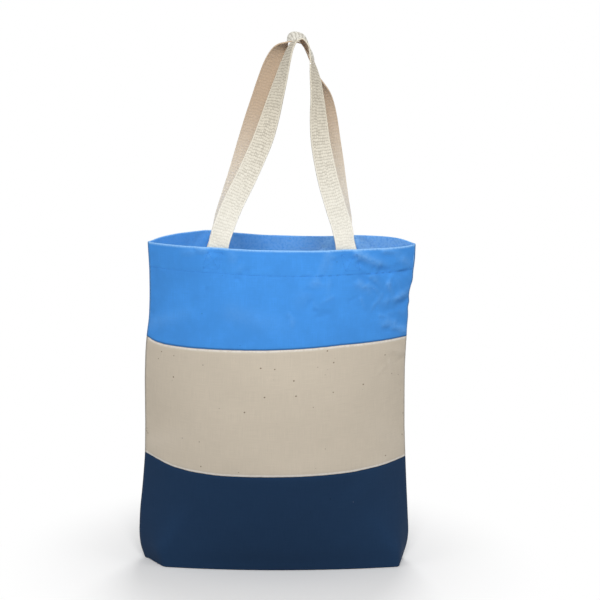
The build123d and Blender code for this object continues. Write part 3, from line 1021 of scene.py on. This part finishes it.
# Shares and colours of the fibres, the painted shade in the hollows and the flecks
WEBBING_SEEDS = 0.12
FIBRE_SHARE = 0.2
FIBRE_COLOUR = (0.3, 0.24, 0.16, 1)
HOLLOW_SHADE_COLOUR = (0.2, 0.17, 0.13, 1)
FLECK_SHARE = 0.5
FLECK_COLOUR = (0.35, 0.25, 0.15, 1)
# How dark the painted shade in the hollows between the yarns is on the outer and the inner face
OUTER_HOLLOW_SHADE = 0.42
INNER_HOLLOW_SHADE = 0.08


def webbing(tree, shader, base, shaded_base, hollow_shade_share):
    """Undyed cotton webbing with its yarns, the painted shade of its hollows and its flecks, darker with
    painted shade towards the strap's middle
    """
    place = flat_place(tree)
    from_middle = calc(tree, "ABSOLUTE", split(tree, place)[1])
    yarns = effect(tree, "Webbing yarns", place, held_value(tree, "crest"))
    seeds = effect(tree, "Cotton flecks", place, WEBBING_SEEDS)["Seeds"]
    hollow_shade = times(tree, yarns["Hollow"], ramp(tree, from_middle, SHADE_FROM, HOLLOW_FULL, *HOLLOW_SHARES))
    tone = tint(tree, ramp(tree, from_middle, SHADE_FROM, SHADE_FULL), base, shaded_base)
    tone = tint(tree, times(tree, yarns["Fibre"], FIBRE_SHARE), tone, FIBRE_COLOUR)
    tone = tint(tree, times(tree, hollow_shade, hollow_shade_share), tone, HOLLOW_SHADE_COLOUR)
    tone = tint(tree, times(tree, seeds, FLECK_SHARE), tone, FLECK_COLOUR)
    cotton(tree, shader, tone, yarns["Height"], *WEBBING_BUMP)


def webbing_material(face):
    """Outer face of the webbing, with painted shade towards the top of the front handle"""
    shaded_base = picked("webbing_shaded" if face == FRONT else "webbing")
    name = f"Cotton webbing {SIDES[face]}"
    return made_material(name, webbing, picked("webbing"), shaded_base, OUTER_HOLLOW_SHADE)


def webbing_inner_material():
    """Inner face of the webbing, with painted light near its ends and painted warm shade towards the middle
    """
    colours = picked("webbing_inside_lit"), picked("webbing_inner")
    return made_material("Cotton webbing inner face", webbing, *colours, INNER_HOLLOW_SHADE)


# Twist of the sewing thread: cells for each metre along the axes, its range, and how dark its tones are
TWIST_SCALE = (2600.0, 2600.0, 1700.0)
TWIST_RANGE = (0.3, 0.7)
TWIST_DARK = (0.25, -0.1)


def thread(tree, shader, base):
    """Sewing thread with its twist"""
    coords = tree.nodes.new("ShaderNodeTexCoord").outputs["Object"]
    twist = noise(tree, stretch(tree, coords, TWIST_SCALE), 1.0, 1.0)
    tone = tint(tree, ramp(tree, twist, *TWIST_RANGE), *(darker(base, share) for share in TWIST_DARK))
    cotton(tree, shader, tone, twist, *THREAD_BUMP)


def thread_piece(bm, name, kind, node=None):
    """Stitches of blue, natural or navy thread, fixed to the bag"""
    slot = f"{kind}_thread"
    piece = make_piece(name, bm, made_material(f"{kind.capitalize()} thread", thread, picked(slot)))
    fix_to_bag(piece, node)


# Stitches

# The ball that every stitch is made from: its segments and rings
STITCH_SEGMENTS = 6
STITCH_RINGS = 5
# A stitch's ends sink into the cloth by this stretch, and this share of each step is gap at both ends
STITCH_STRETCH = 1.06
STITCH_GAP = 0.11
# Step of the share u over which the outward direction is taken
OUTWARD_STEP = 0.01
# Runs of stitches: depth in layers of cloth, the span of shares they run over, and height in mm
HEM_INNER_DEPTH = 3.05
HEM_SPAN = 0.985
HEM_INNER_SPAN = 0.975
SEAM_DEPTH = 1.6
SEAM_SPAN = 0.97
CORNER_DEPTH = 1.1
CORNER_SPAN = (0.82, 0.965)
CORNER_HEIGHT = 4.4


def stitch_shape():
    """The mesh that every stitch is a copy of: a small ball that is stretched along a line"""
    if "Stitch" not in bpy.data.meshes:
        bm = bmesh.new()
        bmesh.ops.create_uvsphere(bm, u_segments=STITCH_SEGMENTS, v_segments=STITCH_RINGS, radius=1.0)
        bmesh.ops.rotate(bm, verts=bm.verts[:], matrix=Matrix.Rotation(math.pi / 2, 3, "Y"))
        bm.to_mesh(bpy.data.meshes.new("Stitch"))
        bm.free()
    return bpy.data.meshes["Stitch"]


def add_stitch(bm, start, end, out):
    """One stitch from start to end that stands out from the cloth"""
    start, end = Vector(start) * MM, Vector(end) * MM
    along = (end - start) / 2
    way = along.normalized()
    out = Vector(out)
    out = (out - way * out.dot(way)).normalized()
    half = sizes()["thread"] * MM / 2
    axes = Matrix((along * STITCH_STRETCH, way.cross(out) * half, out * half)).transposed().to_4x4()
    axes.translation = (start + end) / 2
    copy = stitch_shape().copy()
    copy.transform(axes)
    bm.from_mesh(copy)
    bpy.data.meshes.remove(copy)


def outward(face, u, z):
    """Outward directions of the cloth, one for each place"""
    run = cloth_point(face, u + OUTWARD_STEP, z, 0.0) - cloth_point(face, u - OUTWARD_STEP, z, 0.0)
    return np.cross(run, (0, 0, -face))


def stitch_run(bm, face, line, span, inset=0.0, rise=0.0, inside=True):
    """A run of stitches along a line of the bag, on the inside or the outside of the cloth"""
    held = sizes()
    count = int((span[1] - span[0]) * held["flat_width"] / 2 / held["stitch"])
    ends = np.linspace(span[0], span[1], count + 1)
    gap = (ends[1] - ends[0]) * STITCH_GAP
    starts, stops = ends[:-1] + gap, ends[1:] - gap
    heights = [line_height(line, face, u) + rise for u in (starts, stops)]
    first = cloth_point(face, starts, heights[0], inset)
    last = cloth_point(face, stops, heights[1], inset)
    out = outward(face, (starts + stops) / 2, (heights[0] + heights[1]) / 2)
    for start, stop, way in zip(first, last, -out if inside else out):
        add_stitch(bm, start, stop, way)


# Overlocked side seams in mm: first height, end below the hem, step of a stitch and height of its turn
OVERLOCK_START = 6.0
OVERLOCK_BELOW_HEM = 12
OVERLOCK_STEP = 2.1
OVERLOCK_TURN = 1.3
# Reach of the thread inside the side, at the raw edge and within it, and its heights over that edge
OVERLOCK_RAW = 10.75
OVERLOCK_INNER = 5.4
OVERLOCK_OVER = (1.2, 1.5)
# Layers of cloth under the thread, plain and where a seam crosses, and room above them in mm
PLAIN_LAYERS = 1.05
CROSSED_LAYERS = 2.05
OVERLOCK_RISE = 0.12


def overlock(bm, way):
    """Looped thread over the raw edges of one side seam"""
    held = sizes()
    seams = (held["lower_seam"], held["upper_seam"])
    heights = np.arange(OVERLOCK_START, held["height"] - held["hem"] - OVERLOCK_BELOW_HEM, OVERLOCK_STEP)
    across = outline(FRONT, np.full_like(heights, float(way)), heights)[0]
    for x, z in zip(across, heights):
        crossed = min(abs(z - seam) for seam in seams) < held["allowance"] + 1
        thick = (CROSSED_LAYERS if crossed else PLAIN_LAYERS) * held["cloth"] + OVERLOCK_RISE
        raw = x - way * OVERLOCK_RAW
        inner = x - way * OVERLOCK_INNER
        for face in SIDES:
            y = face * thick
            turn = (raw, y, z + OVERLOCK_TURN)
            add_stitch(bm, (inner, y, z), turn, (0, face, 0))
            add_stitch(bm, turn, (inner, y, z + OVERLOCK_STEP), (0, face, 0))
        first, last = OVERLOCK_OVER
        add_stitch(bm, (raw, -thick, z + first), (raw, thick, z + last), (-way, 0, 0))


# Handles

# Middle lines from left to right: across, deep and up in mm, and the turn of the strap in degrees
FRONT_LINE = (
    (-72.2, -57.5, 430, 10), (-62.8, -52.2, 455, 7), (-47, -46, 488, 6), (-35.8, -41.5, 513, 9),
    (-26.2, -37, 536, 16), (-18, -31.8, 562, 30), (-12, -27.4, 584, 43), (-4.8, -22.2, 610, 57),
    (1.8, -17.6, 634, 70), (6.2, -15, 646.5, 76), (11.6, -14, 654.5, 78),
    (18.2, -14, 656, 78), (25, -15, 650, 80), (31, -17.2, 637, 96), (36.2, -22.3, 613, 119),
    (39.5, -27.6, 585, 132), (41, -32, 561, 146), (43.4, -37, 536, 157), (48, -41.6, 511, 166),
    (53.8, -46.4, 486, 171), (62.9, -52.2, 456, 173), (71.1, -57.3, 430, 171),
)
BACK_LINE = (
    (-71.3, 57, 436, 8), (-64.2, 51.5, 460, 6), (-55.6, 45.6, 488, 3), (-43, 37.4, 533, 2),
    (-35.2, 32.4, 560, 3), (-27.6, 27.7, 584, 5), (-18.6, 22.4, 612, 8), (-12.4, 18.8, 629, 14),
    (-6, 16.6, 641.5, 28), (2, 15.2, 653, 60), (10.6, 14.6, 661, 90), (20, 15, 660, 88),
    (30.6, 17, 644, 72), (40.6, 22, 616, 96), (50, 27.5, 588, 150), (56.6, 32.2, 561, 170),
    (61.2, 37, 536, 175), (66.2, 42, 510, 177), (70.6, 46.8, 484, 178), (76.5, 52.8, 452, 176),
    (79.8, 56.8, 436, 173),
)
HANDLE_LINE = {FRONT: FRONT_LINE, BACK: BACK_LINE}
# Points of a smooth line before they are spaced evenly
LINE_SAMPLES = 4000
# How far the top of each loop leans over towards the front, in degrees, and the heights where that sets in
TOP_TILT = {FRONT: 0, BACK: 32}
TILT_HEIGHTS = (644, 660)
# Where each strap crosses the rim, left and right, and the lean of its sewn ends
ROOT_ACROSS = {FRONT: {-1: -80, 1: 77}, BACK: {-1: -77.5, 1: 84.2}}
ROOT_LEAN = math.radians(16)
# Height near the rim at which a place across is turned into a share, in mm
NEAR_RIM = 405.0
# Layers of cloth from the outer surface to the strap, room past them in mm, and points that are kept clear
HEM_LAYERS = 3.1
STRAP_GAP = 0.3
CLEAR_POINTS = 15
# Drops below the rim at which a sewn end's line is set, after its cut end, in mm
SEWN_DROPS = (21, 14, 7, 1.5, -3.5)

# Weave of the webbing: length of a row, width of a yarn and relief in mm, and the crest that lies level
WEBBING_ROW = 3.75
WEBBING_YARN = 2.54
WEBBING_RELIEF = 0.35
WEBBING_LEVEL = 0.8
WEBBING_SEED = 3
# Width of the selvage and of its edge, in mm
SELVAGE = 1.3
SELVAGE_EDGE = 0.4
# Columns of yarns that are drawn, the middle one, the bow of a row and its slow waves: length and reach
YARN_COLUMNS = 32
YARN_MIDDLE = 16
ROW_BOW = 0.1
ROW_BOW_WIDTH = 12
ROW_WAVES = ((41, 0.1), (17, 0.11), (7.5, 0.08))
CELL_HEIGHTS = (0.3, 1)
# Roundness of the rows and the yarns, and how much cells, yarns and the selvage's rows differ in height
ROW_ROUND = 0.6
YARN_ROUND = 0.5
CELL_SHARE = 0.65
YARN_SHARE = 0.4
SELVAGE_SHARE = 0.15
# Grid of a strap: points for each row of the weave, points across, and how its relief dies at the edges
ROW_POINTS = 6
STRAP_COLUMNS = 51
EDGE_FADE = 1.2
EDGE_LEAST = 0.3

# Tacks: margin from the strap's edges and top below the rim in mm, and the share of a step that is gap
TACK_MARGIN = 3.5
TACK_TOP = 5.0
TACK_GAP = 0.1
# How far a tack's thread lies off the webbing and in the hem's outer face, in mm
TACK_RISE = 0.12
TACK_OUTER_INSET = 0.02


def through(points, samples):
    """A smooth line through points, at even steps along its length"""
    points = np.array(points, float)
    gaps = np.linalg.norm(np.diff(points[:, :3], axis=0), axis=1)
    knots = np.concatenate([[0], np.cumsum(gaps)])
    slopes = np.gradient(points, knots, axis=0)
    fine = np.linspace(0, knots[-1], LINE_SAMPLES)
    cell = np.clip(np.searchsorted(knots, fine, side="right") - 1, 0, len(knots) - 2)
    width = (knots[cell + 1] - knots[cell])[:, None]
    t = ((fine - knots[cell]) / (knots[cell + 1] - knots[cell]))[:, None]
    value = (
        (2 * t**3 - 3 * t**2 + 1) * points[cell]
        + (t**3 - 2 * t**2 + t) * width * slopes[cell]
        + (3 * t**2 - 2 * t**3) * points[cell + 1]
        + (t**3 - t**2) * width * slopes[cell + 1]
    )
    run = np.concatenate([[0], np.cumsum(np.linalg.norm(np.diff(value[:, :3], axis=0), axis=1))])
    even = np.linspace(0, run[-1], samples)
    return np.stack([np.interp(even, run, value[:, k]) for k in range(value.shape[1])], axis=-1), run[-1]


def sewn_across(face, side, below):
    """Place across of a sewn strap end's middle, at a drop below the rim"""
    return ROOT_ACROSS[face][side] + side * math.tan(ROOT_LEAN) * below


def sewn_line(face, side, below):
    """A line across a sewn strap end, clear of the hem's folds: its middle, way across and way inwards"""
    held = sizes()
    inset = HEM_LAYERS * held["cloth"] + held["strap"] / 2 + STRAP_GAP
    x = sewn_across(face, side, below)
    z = float(line_height("rim", face, np.array([share_at(face, x, NEAR_RIM)]))[0]) - below
    reach = held["strap_width"] / held["flat_width"] * np.linspace(-1, 1, CLEAR_POINTS)
    near = cloth_point(face, share_at(face, x, z) + reach, np.full(len(reach), z), inset)
    across = near[-1] - near[0]
    across /= np.linalg.norm(across)
    inward = np.array([face * across[1], -face * across[0], 0])
    middle = near[len(near) // 2]
    return middle + inward * np.max((near - middle) @ inward), across, inward


def sewn_points(face, side):
    """Points of a strap's sewn end inside the hem, from its cut end up to the rim, with its turn"""
    found = []
    for below in (sizes()["sewn_length"], *SEWN_DROPS):
        middle, across, _ = sewn_line(face, side, below)
        turn = math.degrees(math.atan2(face * across[1], across[0]))
        found.append((*middle, turn if side < 0 else 180 + turn))
    return found


def handle_line(face):
    """The whole middle line of a handle, from one cut end to the other, with its turn"""
    return sewn_points(face, -1) + list(HANDLE_LINE[face]) + sewn_points(face, 1)[::-1]


def webbing_crests(w, s):
    """Height of the fat yarns across and along a strap, each cell a little different, from 0 to 1"""
    draw = np.random.default_rng(WEBBING_SEED)
    yarn = w / WEBBING_YARN + YARN_MIDDLE
    column = np.floor(yarn).astype(int)
    run = s / WEBBING_ROW + ROW_BOW * (w / ROW_BOW_WIDTH) ** 2 + 1
    for length, reach in ROW_WAVES:
        run = run + reach * np.sin(s / length + draw.uniform(0, 2 * math.pi, YARN_COLUMNS)[column])
    row = np.floor(run).astype(int)
    cells = draw.uniform(*CELL_HEIGHTS, (row.max() + 1, YARN_COLUMNS))
    rib = np.abs(np.sin(np.pi * run)) ** ROW_ROUND
    across = np.abs(np.sin(np.pi * yarn)) ** YARN_ROUND
    crest = rib * (1 - CELL_SHARE + CELL_SHARE * cells[row, column]) * (1 - YARN_SHARE + YARN_SHARE * across)
    edge = np.clip((np.abs(w) - w.max() + SELVAGE) / SELVAGE_EDGE, 0, 1)
    return crest + (1 - SELVAGE_SHARE + SELVAGE_SHARE * rib - crest) * edge


def make_strap(face):
    """A webbing handle: one ribbon along its line, with the relief of its weave"""
    held = sizes()
    spots = handle_line(face)
    rows = int(through(spots, 2)[1] / WEBBING_ROW * ROW_POINTS)
    line, length = through(spots, rows)
    place = line[:, :3]
    tangent = np.gradient(place, axis=0)
    tangent /= np.linalg.norm(tangent, axis=1)[:, None]
    turn = np.radians(line[:, 3])
    rise = np.clip((place[:, 2] - TILT_HEIGHTS[0]) / (TILT_HEIGHTS[1] - TILT_HEIGHTS[0]), 0, 1)
    tilt = math.radians(TOP_TILT[face]) * rise**2 * (3 - 2 * rise)
    level = np.cos(tilt)
    across = np.stack([np.cos(turn) * level, face * np.sin(turn) * level, np.sin(tilt)], axis=-1)
    across -= tangent * np.sum(across * tangent, axis=1)[:, None]
    across /= np.linalg.norm(across, axis=1)[:, None]
    normal = np.cross(across, tangent)
    half = held["strap_width"] / 2
    w = np.linspace(-half, half, STRAP_COLUMNS)
    s = np.linspace(0, length, rows)
    crest = webbing_crests(*np.broadcast_arrays(w[None, :], s[:, None]))
    edge = np.clip((half - np.abs(w)) / EDGE_FADE, EDGE_LEAST, 1)[None, :]
    lift = WEBBING_RELIEF * (crest - WEBBING_LEVEL) * edge
    sideways = across[:, None, :] * w[None, :, None]
    points = place[:, None, :] + sideways + normal[:, None, :] * lift[:, :, None]
    flats = np.stack(np.broadcast_arrays(w[None, :], s[:, None] - length / 2), axis=-1)
    bm, layers = new_sheet("crest")
    cloth_grid(bm, layers, points, flats, crest)
    piece = make_piece(f"{SIDES[face]}_strap", bm, webbing_material(face))
    piece.data.materials.append(webbing_inner_material())
    solid = thicken(piece, held["strap"])
    solid.material_offset = 1
    if face == BACK:
        piece.data.polygons.foreach_set("material_index", [1] * len(piece.data.polygons))
        solid.material_offset = -1
    return piece, length


def apply_modifiers(piece):
    """Makes the modifiers part of the mesh"""
    graph = bpy.context.evaluated_depsgraph_get()
    mesh = bpy.data.meshes.new_from_object(piece.evaluated_get(graph))
    piece.modifiers.clear()
    piece.data = mesh


def tack_lines():
    """Lines of a box and its cross on a strap end: across from its middle and down from the rim, in mm"""
    held = sizes()
    half = held["strap_width"] / 2 - TACK_MARGIN
    low = held["sewn_length"] - TACK_MARGIN
    corners = ((-half, TACK_TOP), (half, TACK_TOP), (half, low), (-half, low))
    box = list(zip(corners, corners[1:] + corners[:1]))
    return box + [(corners[0], corners[2]), (corners[1], corners[3])]


def tack_steps(first, last):
    """Starts and stops of the stitches along a line of a tack: across from the middle, down from the rim"""
    first, last = np.array(first), np.array(last)
    count = max(2, round(float(np.linalg.norm(last - first)) / sizes()["stitch"]))
    shares = np.linspace(0, 1, count + 1)
    gap = TACK_GAP / count
    return [first + (last - first) * share[:, None] for share in (shares[:-1] + gap, shares[1:] - gap)]


def tack_inside(bm, face, end, steps):
    """One line of stitches on the inner face of a strap end"""
    rise = sizes()["strap"] / 2 + TACK_RISE
    for spots in zip(*steps):
        places = []
        for aside, below in spots:
            middle, across, inward = sewn_line(face, end, below)
            places.append(middle + across * aside + inward * rise)
        add_stitch(bm, *places, inward)


def tack_outside(bm, face, end, steps):
    """One line of stitches on the outer face of the hem, over a strap end"""
    places = []
    for aside, below in (step.T for step in steps):
        x = sewn_across(face, end, below) + aside
        u = np.array([share_at(face, *spot) for spot in zip(x, NEAR_RIM - below)])
        z = line_height("rim", face, u) - below
        places.append(cloth_point(face, u, z, TACK_OUTER_INSET))
    for start, stop, way in zip(*places, outward(face, u, z)):
        add_stitch(bm, start, stop, way)


# Stage

# The floor in metres: half its width, and the distances between which it fades to white
FLOOR_HALF = 6.0
FLOOR_FADE = (0.16, 0.36)
# How much darker the floor is to the light that it sends back to the bag
FLOOR_BOUNCE = 0.6
# Strength of the world's light on the bag
AMBIENT = 0.36
# Soft lights: name, place, width in metres and power in watts
LIGHTS = (
    ("Front key", (-0.05, -1.75, 1.45), 0.9, 28.5),
    ("Left fill", (-2.1, -0.95, 0.95), 1.2, 10.0),
    ("Right fill", (2.1, -0.95, 0.95), 1.2, 11.5),
    ("Back fill", (0.3, 1.9, 1.3), 1.2, 27.0),
)
LIGHT_AIM = Vector((0, 0, 0.3))
CAMERA_PLACE = (-0.065, -1.6, 0.565)
CAMERA_DOWN = math.radians(8.13)
CAMERA_YAW = math.radians(3.2)
CAMERA_ROLL = math.radians(1.1)
CAMERA_LENS = 77.22
CAMERA_SENSOR = 36.0
CAMERA_FAR = 50.0


def seen_directly(tree):
    """1 for what the camera, a glossy or a clear surface sees, and 0 for light on its way"""
    path = tree.nodes.new("ShaderNodeLightPath").outputs
    seen = calc(tree, "MAXIMUM", path["Is Camera Ray"], path["Is Glossy Ray"])
    return calc(tree, "MAXIMUM", seen, path["Is Transmission Ray"])


def mixed_surface(tree, factor, first, second, kind):
    """Mixes two shaders into an output node of a kind"""
    mix = tree.nodes.new("ShaderNodeMixShader")
    for socket, value in zip(mix.inputs, (factor, first, second)):
        put(tree, socket, value)
    put(tree, tree.nodes.new(kind).inputs["Surface"], mix.outputs[0])


def make_floor():
    """A plain pale floor that fades to white away from the bag and keeps its shadow near it"""
    bm = bmesh.new()
    bmesh.ops.create_grid(bm, x_segments=8, y_segments=8, size=FLOOR_HALF)
    material = bpy.data.materials.new("Studio floor")
    material.use_nodes = True
    tree = material.node_tree
    tree.nodes.clear()
    coords = tree.nodes.new("ShaderNodeTexCoord").outputs["Object"]
    reach = tree.nodes.new("ShaderNodeVectorMath")
    reach.operation = "LENGTH"
    put(tree, reach.inputs[0], stretch(tree, coords, (1.0, 1.0, 0.0)))
    fade = ramp(tree, reach.outputs["Value"], *FLOOR_FADE)
    seen = seen_directly(tree)
    plain = tree.nodes.new("ShaderNodeBsdfDiffuse")
    floor = picked("floor")
    put(tree, plain.inputs["Color"], tint(tree, seen, darker(floor, FLOOR_BOUNCE), floor))
    white = tree.nodes.new("ShaderNodeEmission")
    white.inputs["Strength"].default_value = 1.0
    shaders = plain.outputs[0], white.outputs[0]
    mixed_surface(tree, times(tree, fade, seen), *shaders, "ShaderNodeOutputMaterial")
    make_piece("studio_floor", bm, material)


def make_world(scene):
    """White to the camera, and a soft grey light on the bag"""
    world = bpy.data.worlds.new("Studio")
    world.use_nodes = True
    tree = world.node_tree
    tree.nodes.clear()
    shaders = []
    for strength in (AMBIENT, 1.0):
        light = tree.nodes.new("ShaderNodeBackground")
        light.inputs["Color"].default_value = (1, 1, 1, 1)
        light.inputs["Strength"].default_value = strength
        shaders.append(light.outputs[0])
    mixed_surface(tree, seen_directly(tree), *shaders, "ShaderNodeOutputWorld")
    scene.world = world


def make_lights(scene):
    """Large soft area lights aimed at the bag"""
    for name, place, width, power in LIGHTS:
        light = bpy.data.lights.new(name, "AREA")
        light.size = width
        light.energy = power
        lamp = bpy.data.objects.new(name, light)
        lamp.location = place
        lamp.rotation_euler = (LIGHT_AIM - Vector(place)).to_track_quat("-Z", "Y").to_euler()
        scene.collection.objects.link(lamp)


def make_camera(scene):
    """The camera at the photograph's place"""
    lens = bpy.data.cameras.new("Camera")
    lens.lens = CAMERA_LENS
    lens.sensor_width = CAMERA_SENSOR
    lens.clip_end = CAMERA_FAR
    camera = bpy.data.objects.new("Camera", lens)
    level = math.cos(CAMERA_DOWN)
    ahead = Vector((math.sin(CAMERA_YAW) * level, math.cos(CAMERA_YAW) * level, -math.sin(CAMERA_DOWN)))
    right = Vector((math.cos(CAMERA_YAW), -math.sin(CAMERA_YAW), 0))
    up = right.cross(ahead)
    rolled = right * math.cos(CAMERA_ROLL) + up * math.sin(CAMERA_ROLL)
    top = up * math.cos(CAMERA_ROLL) - right * math.sin(CAMERA_ROLL)
    axes = Matrix((rolled, top, -ahead)).transposed().to_4x4()
    axes.translation = CAMERA_PLACE
    camera.matrix_world = axes
    scene.collection.objects.link(camera)
    scene.camera = camera


# Operators


class ToteStage(bpy.types.Operator):
    """Makes the pale floor, the soft lights and the camera"""

    bl_idname = "tote.stage"
    bl_label = "Stage"

    def execute(self, context):
        make_floor()
        make_world(context.scene)
        make_lights(context.scene)
        make_camera(context.scene)
        context.scene.view_settings.view_transform = "Standard"
        return {"FINISHED"}


class TotePanels(bpy.types.Operator):
    """Makes the blue top panels with their hems and the undyed middle panels"""

    bl_idname = "tote.panels"
    bl_label = "Top and middle panels"

    def execute(self, context):
        held = sizes()
        top = held["height"] - held["upper_seam"]
        near_hem = [held["hem"] - HEM_STITCH_UP + gap for gap in NEAR_HEM]
        top_face = face_rows(top, TOP_ROWS, TOP_EDGE_SHADING, near_hem)
        groove = Row(0, TOP_GROOVE_OFFSET, held["cloth"] / 2, TOP_GROOVE_FLAT, TOP_GROOVE_SHADE)
        top_rows = [*seam_rows(0, 0), top_face[0], groove, *top_face[1:], *hem_rows(top)]
        middle = held["upper_seam"] - held["lower_seam"]
        middle_rows = seam_rows(0, 0) + face_rows(middle, MIDDLE_ROWS, MIDDLE_EDGE_HIGHLIGHTS) + seam_rows(1, middle)
        for face, side in SIDES.items():
            bm, layers = new_sheet("wear")
            panel_grid(bm, layers, face, "upper", "rim", top_rows)
            piece = finish_panel(bm, f"{side}_blue_panel", "blue", f"{side}_top_panel")
            bm, layers = new_sheet("wear")
            panel_grid(bm, layers, face, "lower", "upper", middle_rows)
            piece = finish_panel(bm, f"{side}_natural_panel", "natural", f"{side}_middle_panel")
        return {"FINISHED"}


class ToteBase(bpy.types.Operator):
    """Makes the navy panel that runs down the front, under the base and up the back"""

    bl_idname = "tote.base"
    bl_label = "Bottom panel"

    def execute(self, context):
        held = sizes()
        allowance, gusset, length = held["allowance"], held["gusset"], held["lower_seam"]
        rows = wall_rows(length)
        u, past = columns()
        bm, layers = new_sheet("wear")
        edges = []
        for face in SIDES:
            panel_grid(bm, layers, face, "base", "lower", rows)
            low = np.full_like(u, rows[0].offset)
            edges.append(row_points(face, u, past, low, rows[0].inset))
        base_grid(bm, layers, edges)
        bmesh.ops.remove_doubles(bm, verts=bm.verts[:], dist=JOIN_NEAR * MM)
        piece = finish_panel(bm, "navy_panel", "navy", "bottom_panel")
        return {"FINISHED"}


class ToteHandles(bpy.types.Operator):
    """Makes the two webbing handles, sewn inside the hem and bent at the rim"""

    bl_idname = "tote.handles"
    bl_label = "Handles"

    def execute(self, context):
        held = sizes()
        for face, side in SIDES.items():
            piece, length = make_strap(face)
            apply_modifiers(piece)
            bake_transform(piece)
            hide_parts(f"{side}_handle_loop", f"{side}_handle_ends")
        return {"FINISHED"}


class ToteHemStitches(bpy.types.Operator):
    """Makes the stitching of the hem, outside and inside"""

    bl_idname = "tote.hem_stitches"
    bl_label = "Hem stitching"

    def execute(self, context):
        inset = HEM_INNER_DEPTH * sizes()["cloth"]
        for face, side in SIDES.items():
            bm = bmesh.new()
            stitch_run(bm, face, "hem", (-HEM_SPAN, HEM_SPAN), inside=False)
            stitch_run(bm, face, "hem", (-HEM_INNER_SPAN, HEM_INNER_SPAN), inset)
            thread_piece(bm, f"{side}_hem_stitches", "blue", f"{side}_hem_stitching")
        return {"FINISHED"}


class ToteSeamStitches(bpy.types.Operator):
    """Makes the stitching of the upper and lower seams, in the groove inside"""

    bl_idname = "tote.seam_stitches"
    bl_label = "Seam stitching"

    def execute(self, context):
        inset = SEAM_DEPTH * sizes()["cloth"]
        for face, side in SIDES.items():
            for line, kind in (("upper", "natural"), ("lower", "navy")):
                bm = bmesh.new()
                stitch_run(bm, face, line, (-SEAM_SPAN, SEAM_SPAN), inset)
                thread_piece(bm, f"{side}_{line}_seam_stitches", kind, f"{side}_{line}_seam_stitching")
        return {"FINISHED"}


class ToteSideSeams(bpy.types.Operator):
    """Makes the overlocked edges of the side seams inside the bag"""

    bl_idname = "tote.side_seams"
    bl_label = "Side seams"

    def execute(self, context):
        for way, side in ENDS.items():
            bm = bmesh.new()
            overlock(bm, way)
            thread_piece(bm, f"{side}_overlock_stitches", "natural", f"{side}_side_overlock")
        return {"FINISHED"}


class ToteCornerStitches(bpy.types.Operator):
    """Makes the stitching of the boxed corners, inside along the base"""

    bl_idname = "tote.corner_stitches"
    bl_label = "Corner stitching"

    def execute(self, context):
        inset = CORNER_DEPTH * sizes()["cloth"]
        for way, side in ENDS.items():
            bm = bmesh.new()
            span = sorted(way * share for share in CORNER_SPAN)
            for face in SIDES:
                stitch_run(bm, face, "base", span, inset, CORNER_HEIGHT)
            thread_piece(bm, f"{side}_corner_stitches", "navy", f"{side}_corner_stitching")
        return {"FINISHED"}


class ToteHandleTacks(bpy.types.Operator):
    """Makes the box and cross of stitches that hold each strap end, inside and through to the outside"""

    bl_idname = "tote.handle_tacks"
    bl_label = "Handle tacks"

    def execute(self, context):
        for face, side in SIDES.items():
            inside, outside = bmesh.new(), bmesh.new()
            for end in ENDS:
                for line in tack_lines():
                    steps = tack_steps(*line)
                    tack_inside(inside, face, end, steps)
                    tack_outside(outside, face, end, steps)
            thread_piece(inside, f"{side}_tack_stitches", "natural", f"{side}_handle_tacks")
            thread_piece(outside, f"{side}_tack_stitches_outside", "blue")
        return {"FINISHED"}


class VIEW3D_PT_tote(bpy.types.Panel):
    """Shows the bag's sizes and colours and the steps that build it"""

    bl_label = "Tote Bag"
    bl_space_type = "VIEW_3D"
    bl_region_type = "UI"
    bl_category = "Tote Bag"

    def draw(self, context):
        for group in (context.scene.tote_sizes, context.scene.tote_colours):
            for name in type(group).__annotations__:
                self.layout.prop(group, name)
        for step in STEPS:
            self.layout.operator(step.bl_idname)


STEPS = (
    ToteStage,
    TotePanels,
    ToteBase,
    ToteHandles,
    ToteHemStitches,
    ToteSeamStitches,
    ToteSideSeams,
    ToteCornerStitches,
    ToteHandleTacks,
)
CLASSES = (ToteSizes, ToteColours, *STEPS, VIEW3D_PT_tote)


def register():
    """Registers the add-on's classes and settings"""
    for item in CLASSES:
        bpy.utils.register_class(item)
    bpy.types.Scene.tote_sizes = PointerProperty(type=ToteSizes)
    bpy.types.Scene.tote_colours = PointerProperty(type=ToteColours)


def unregister():
    """Removes the add-on's classes and settings"""
    del bpy.types.Scene.tote_sizes
    del bpy.types.Scene.tote_colours
    for item in reversed(CLASSES):
        bpy.utils.unregister_class(item)


def main():
    """Builds the bag step by step"""
    register()
    for step in STEPS:
        group, name = step.bl_idname.split(".")
        getattr(getattr(bpy.ops, group), name)()


if __name__ == "__main__":
    main()
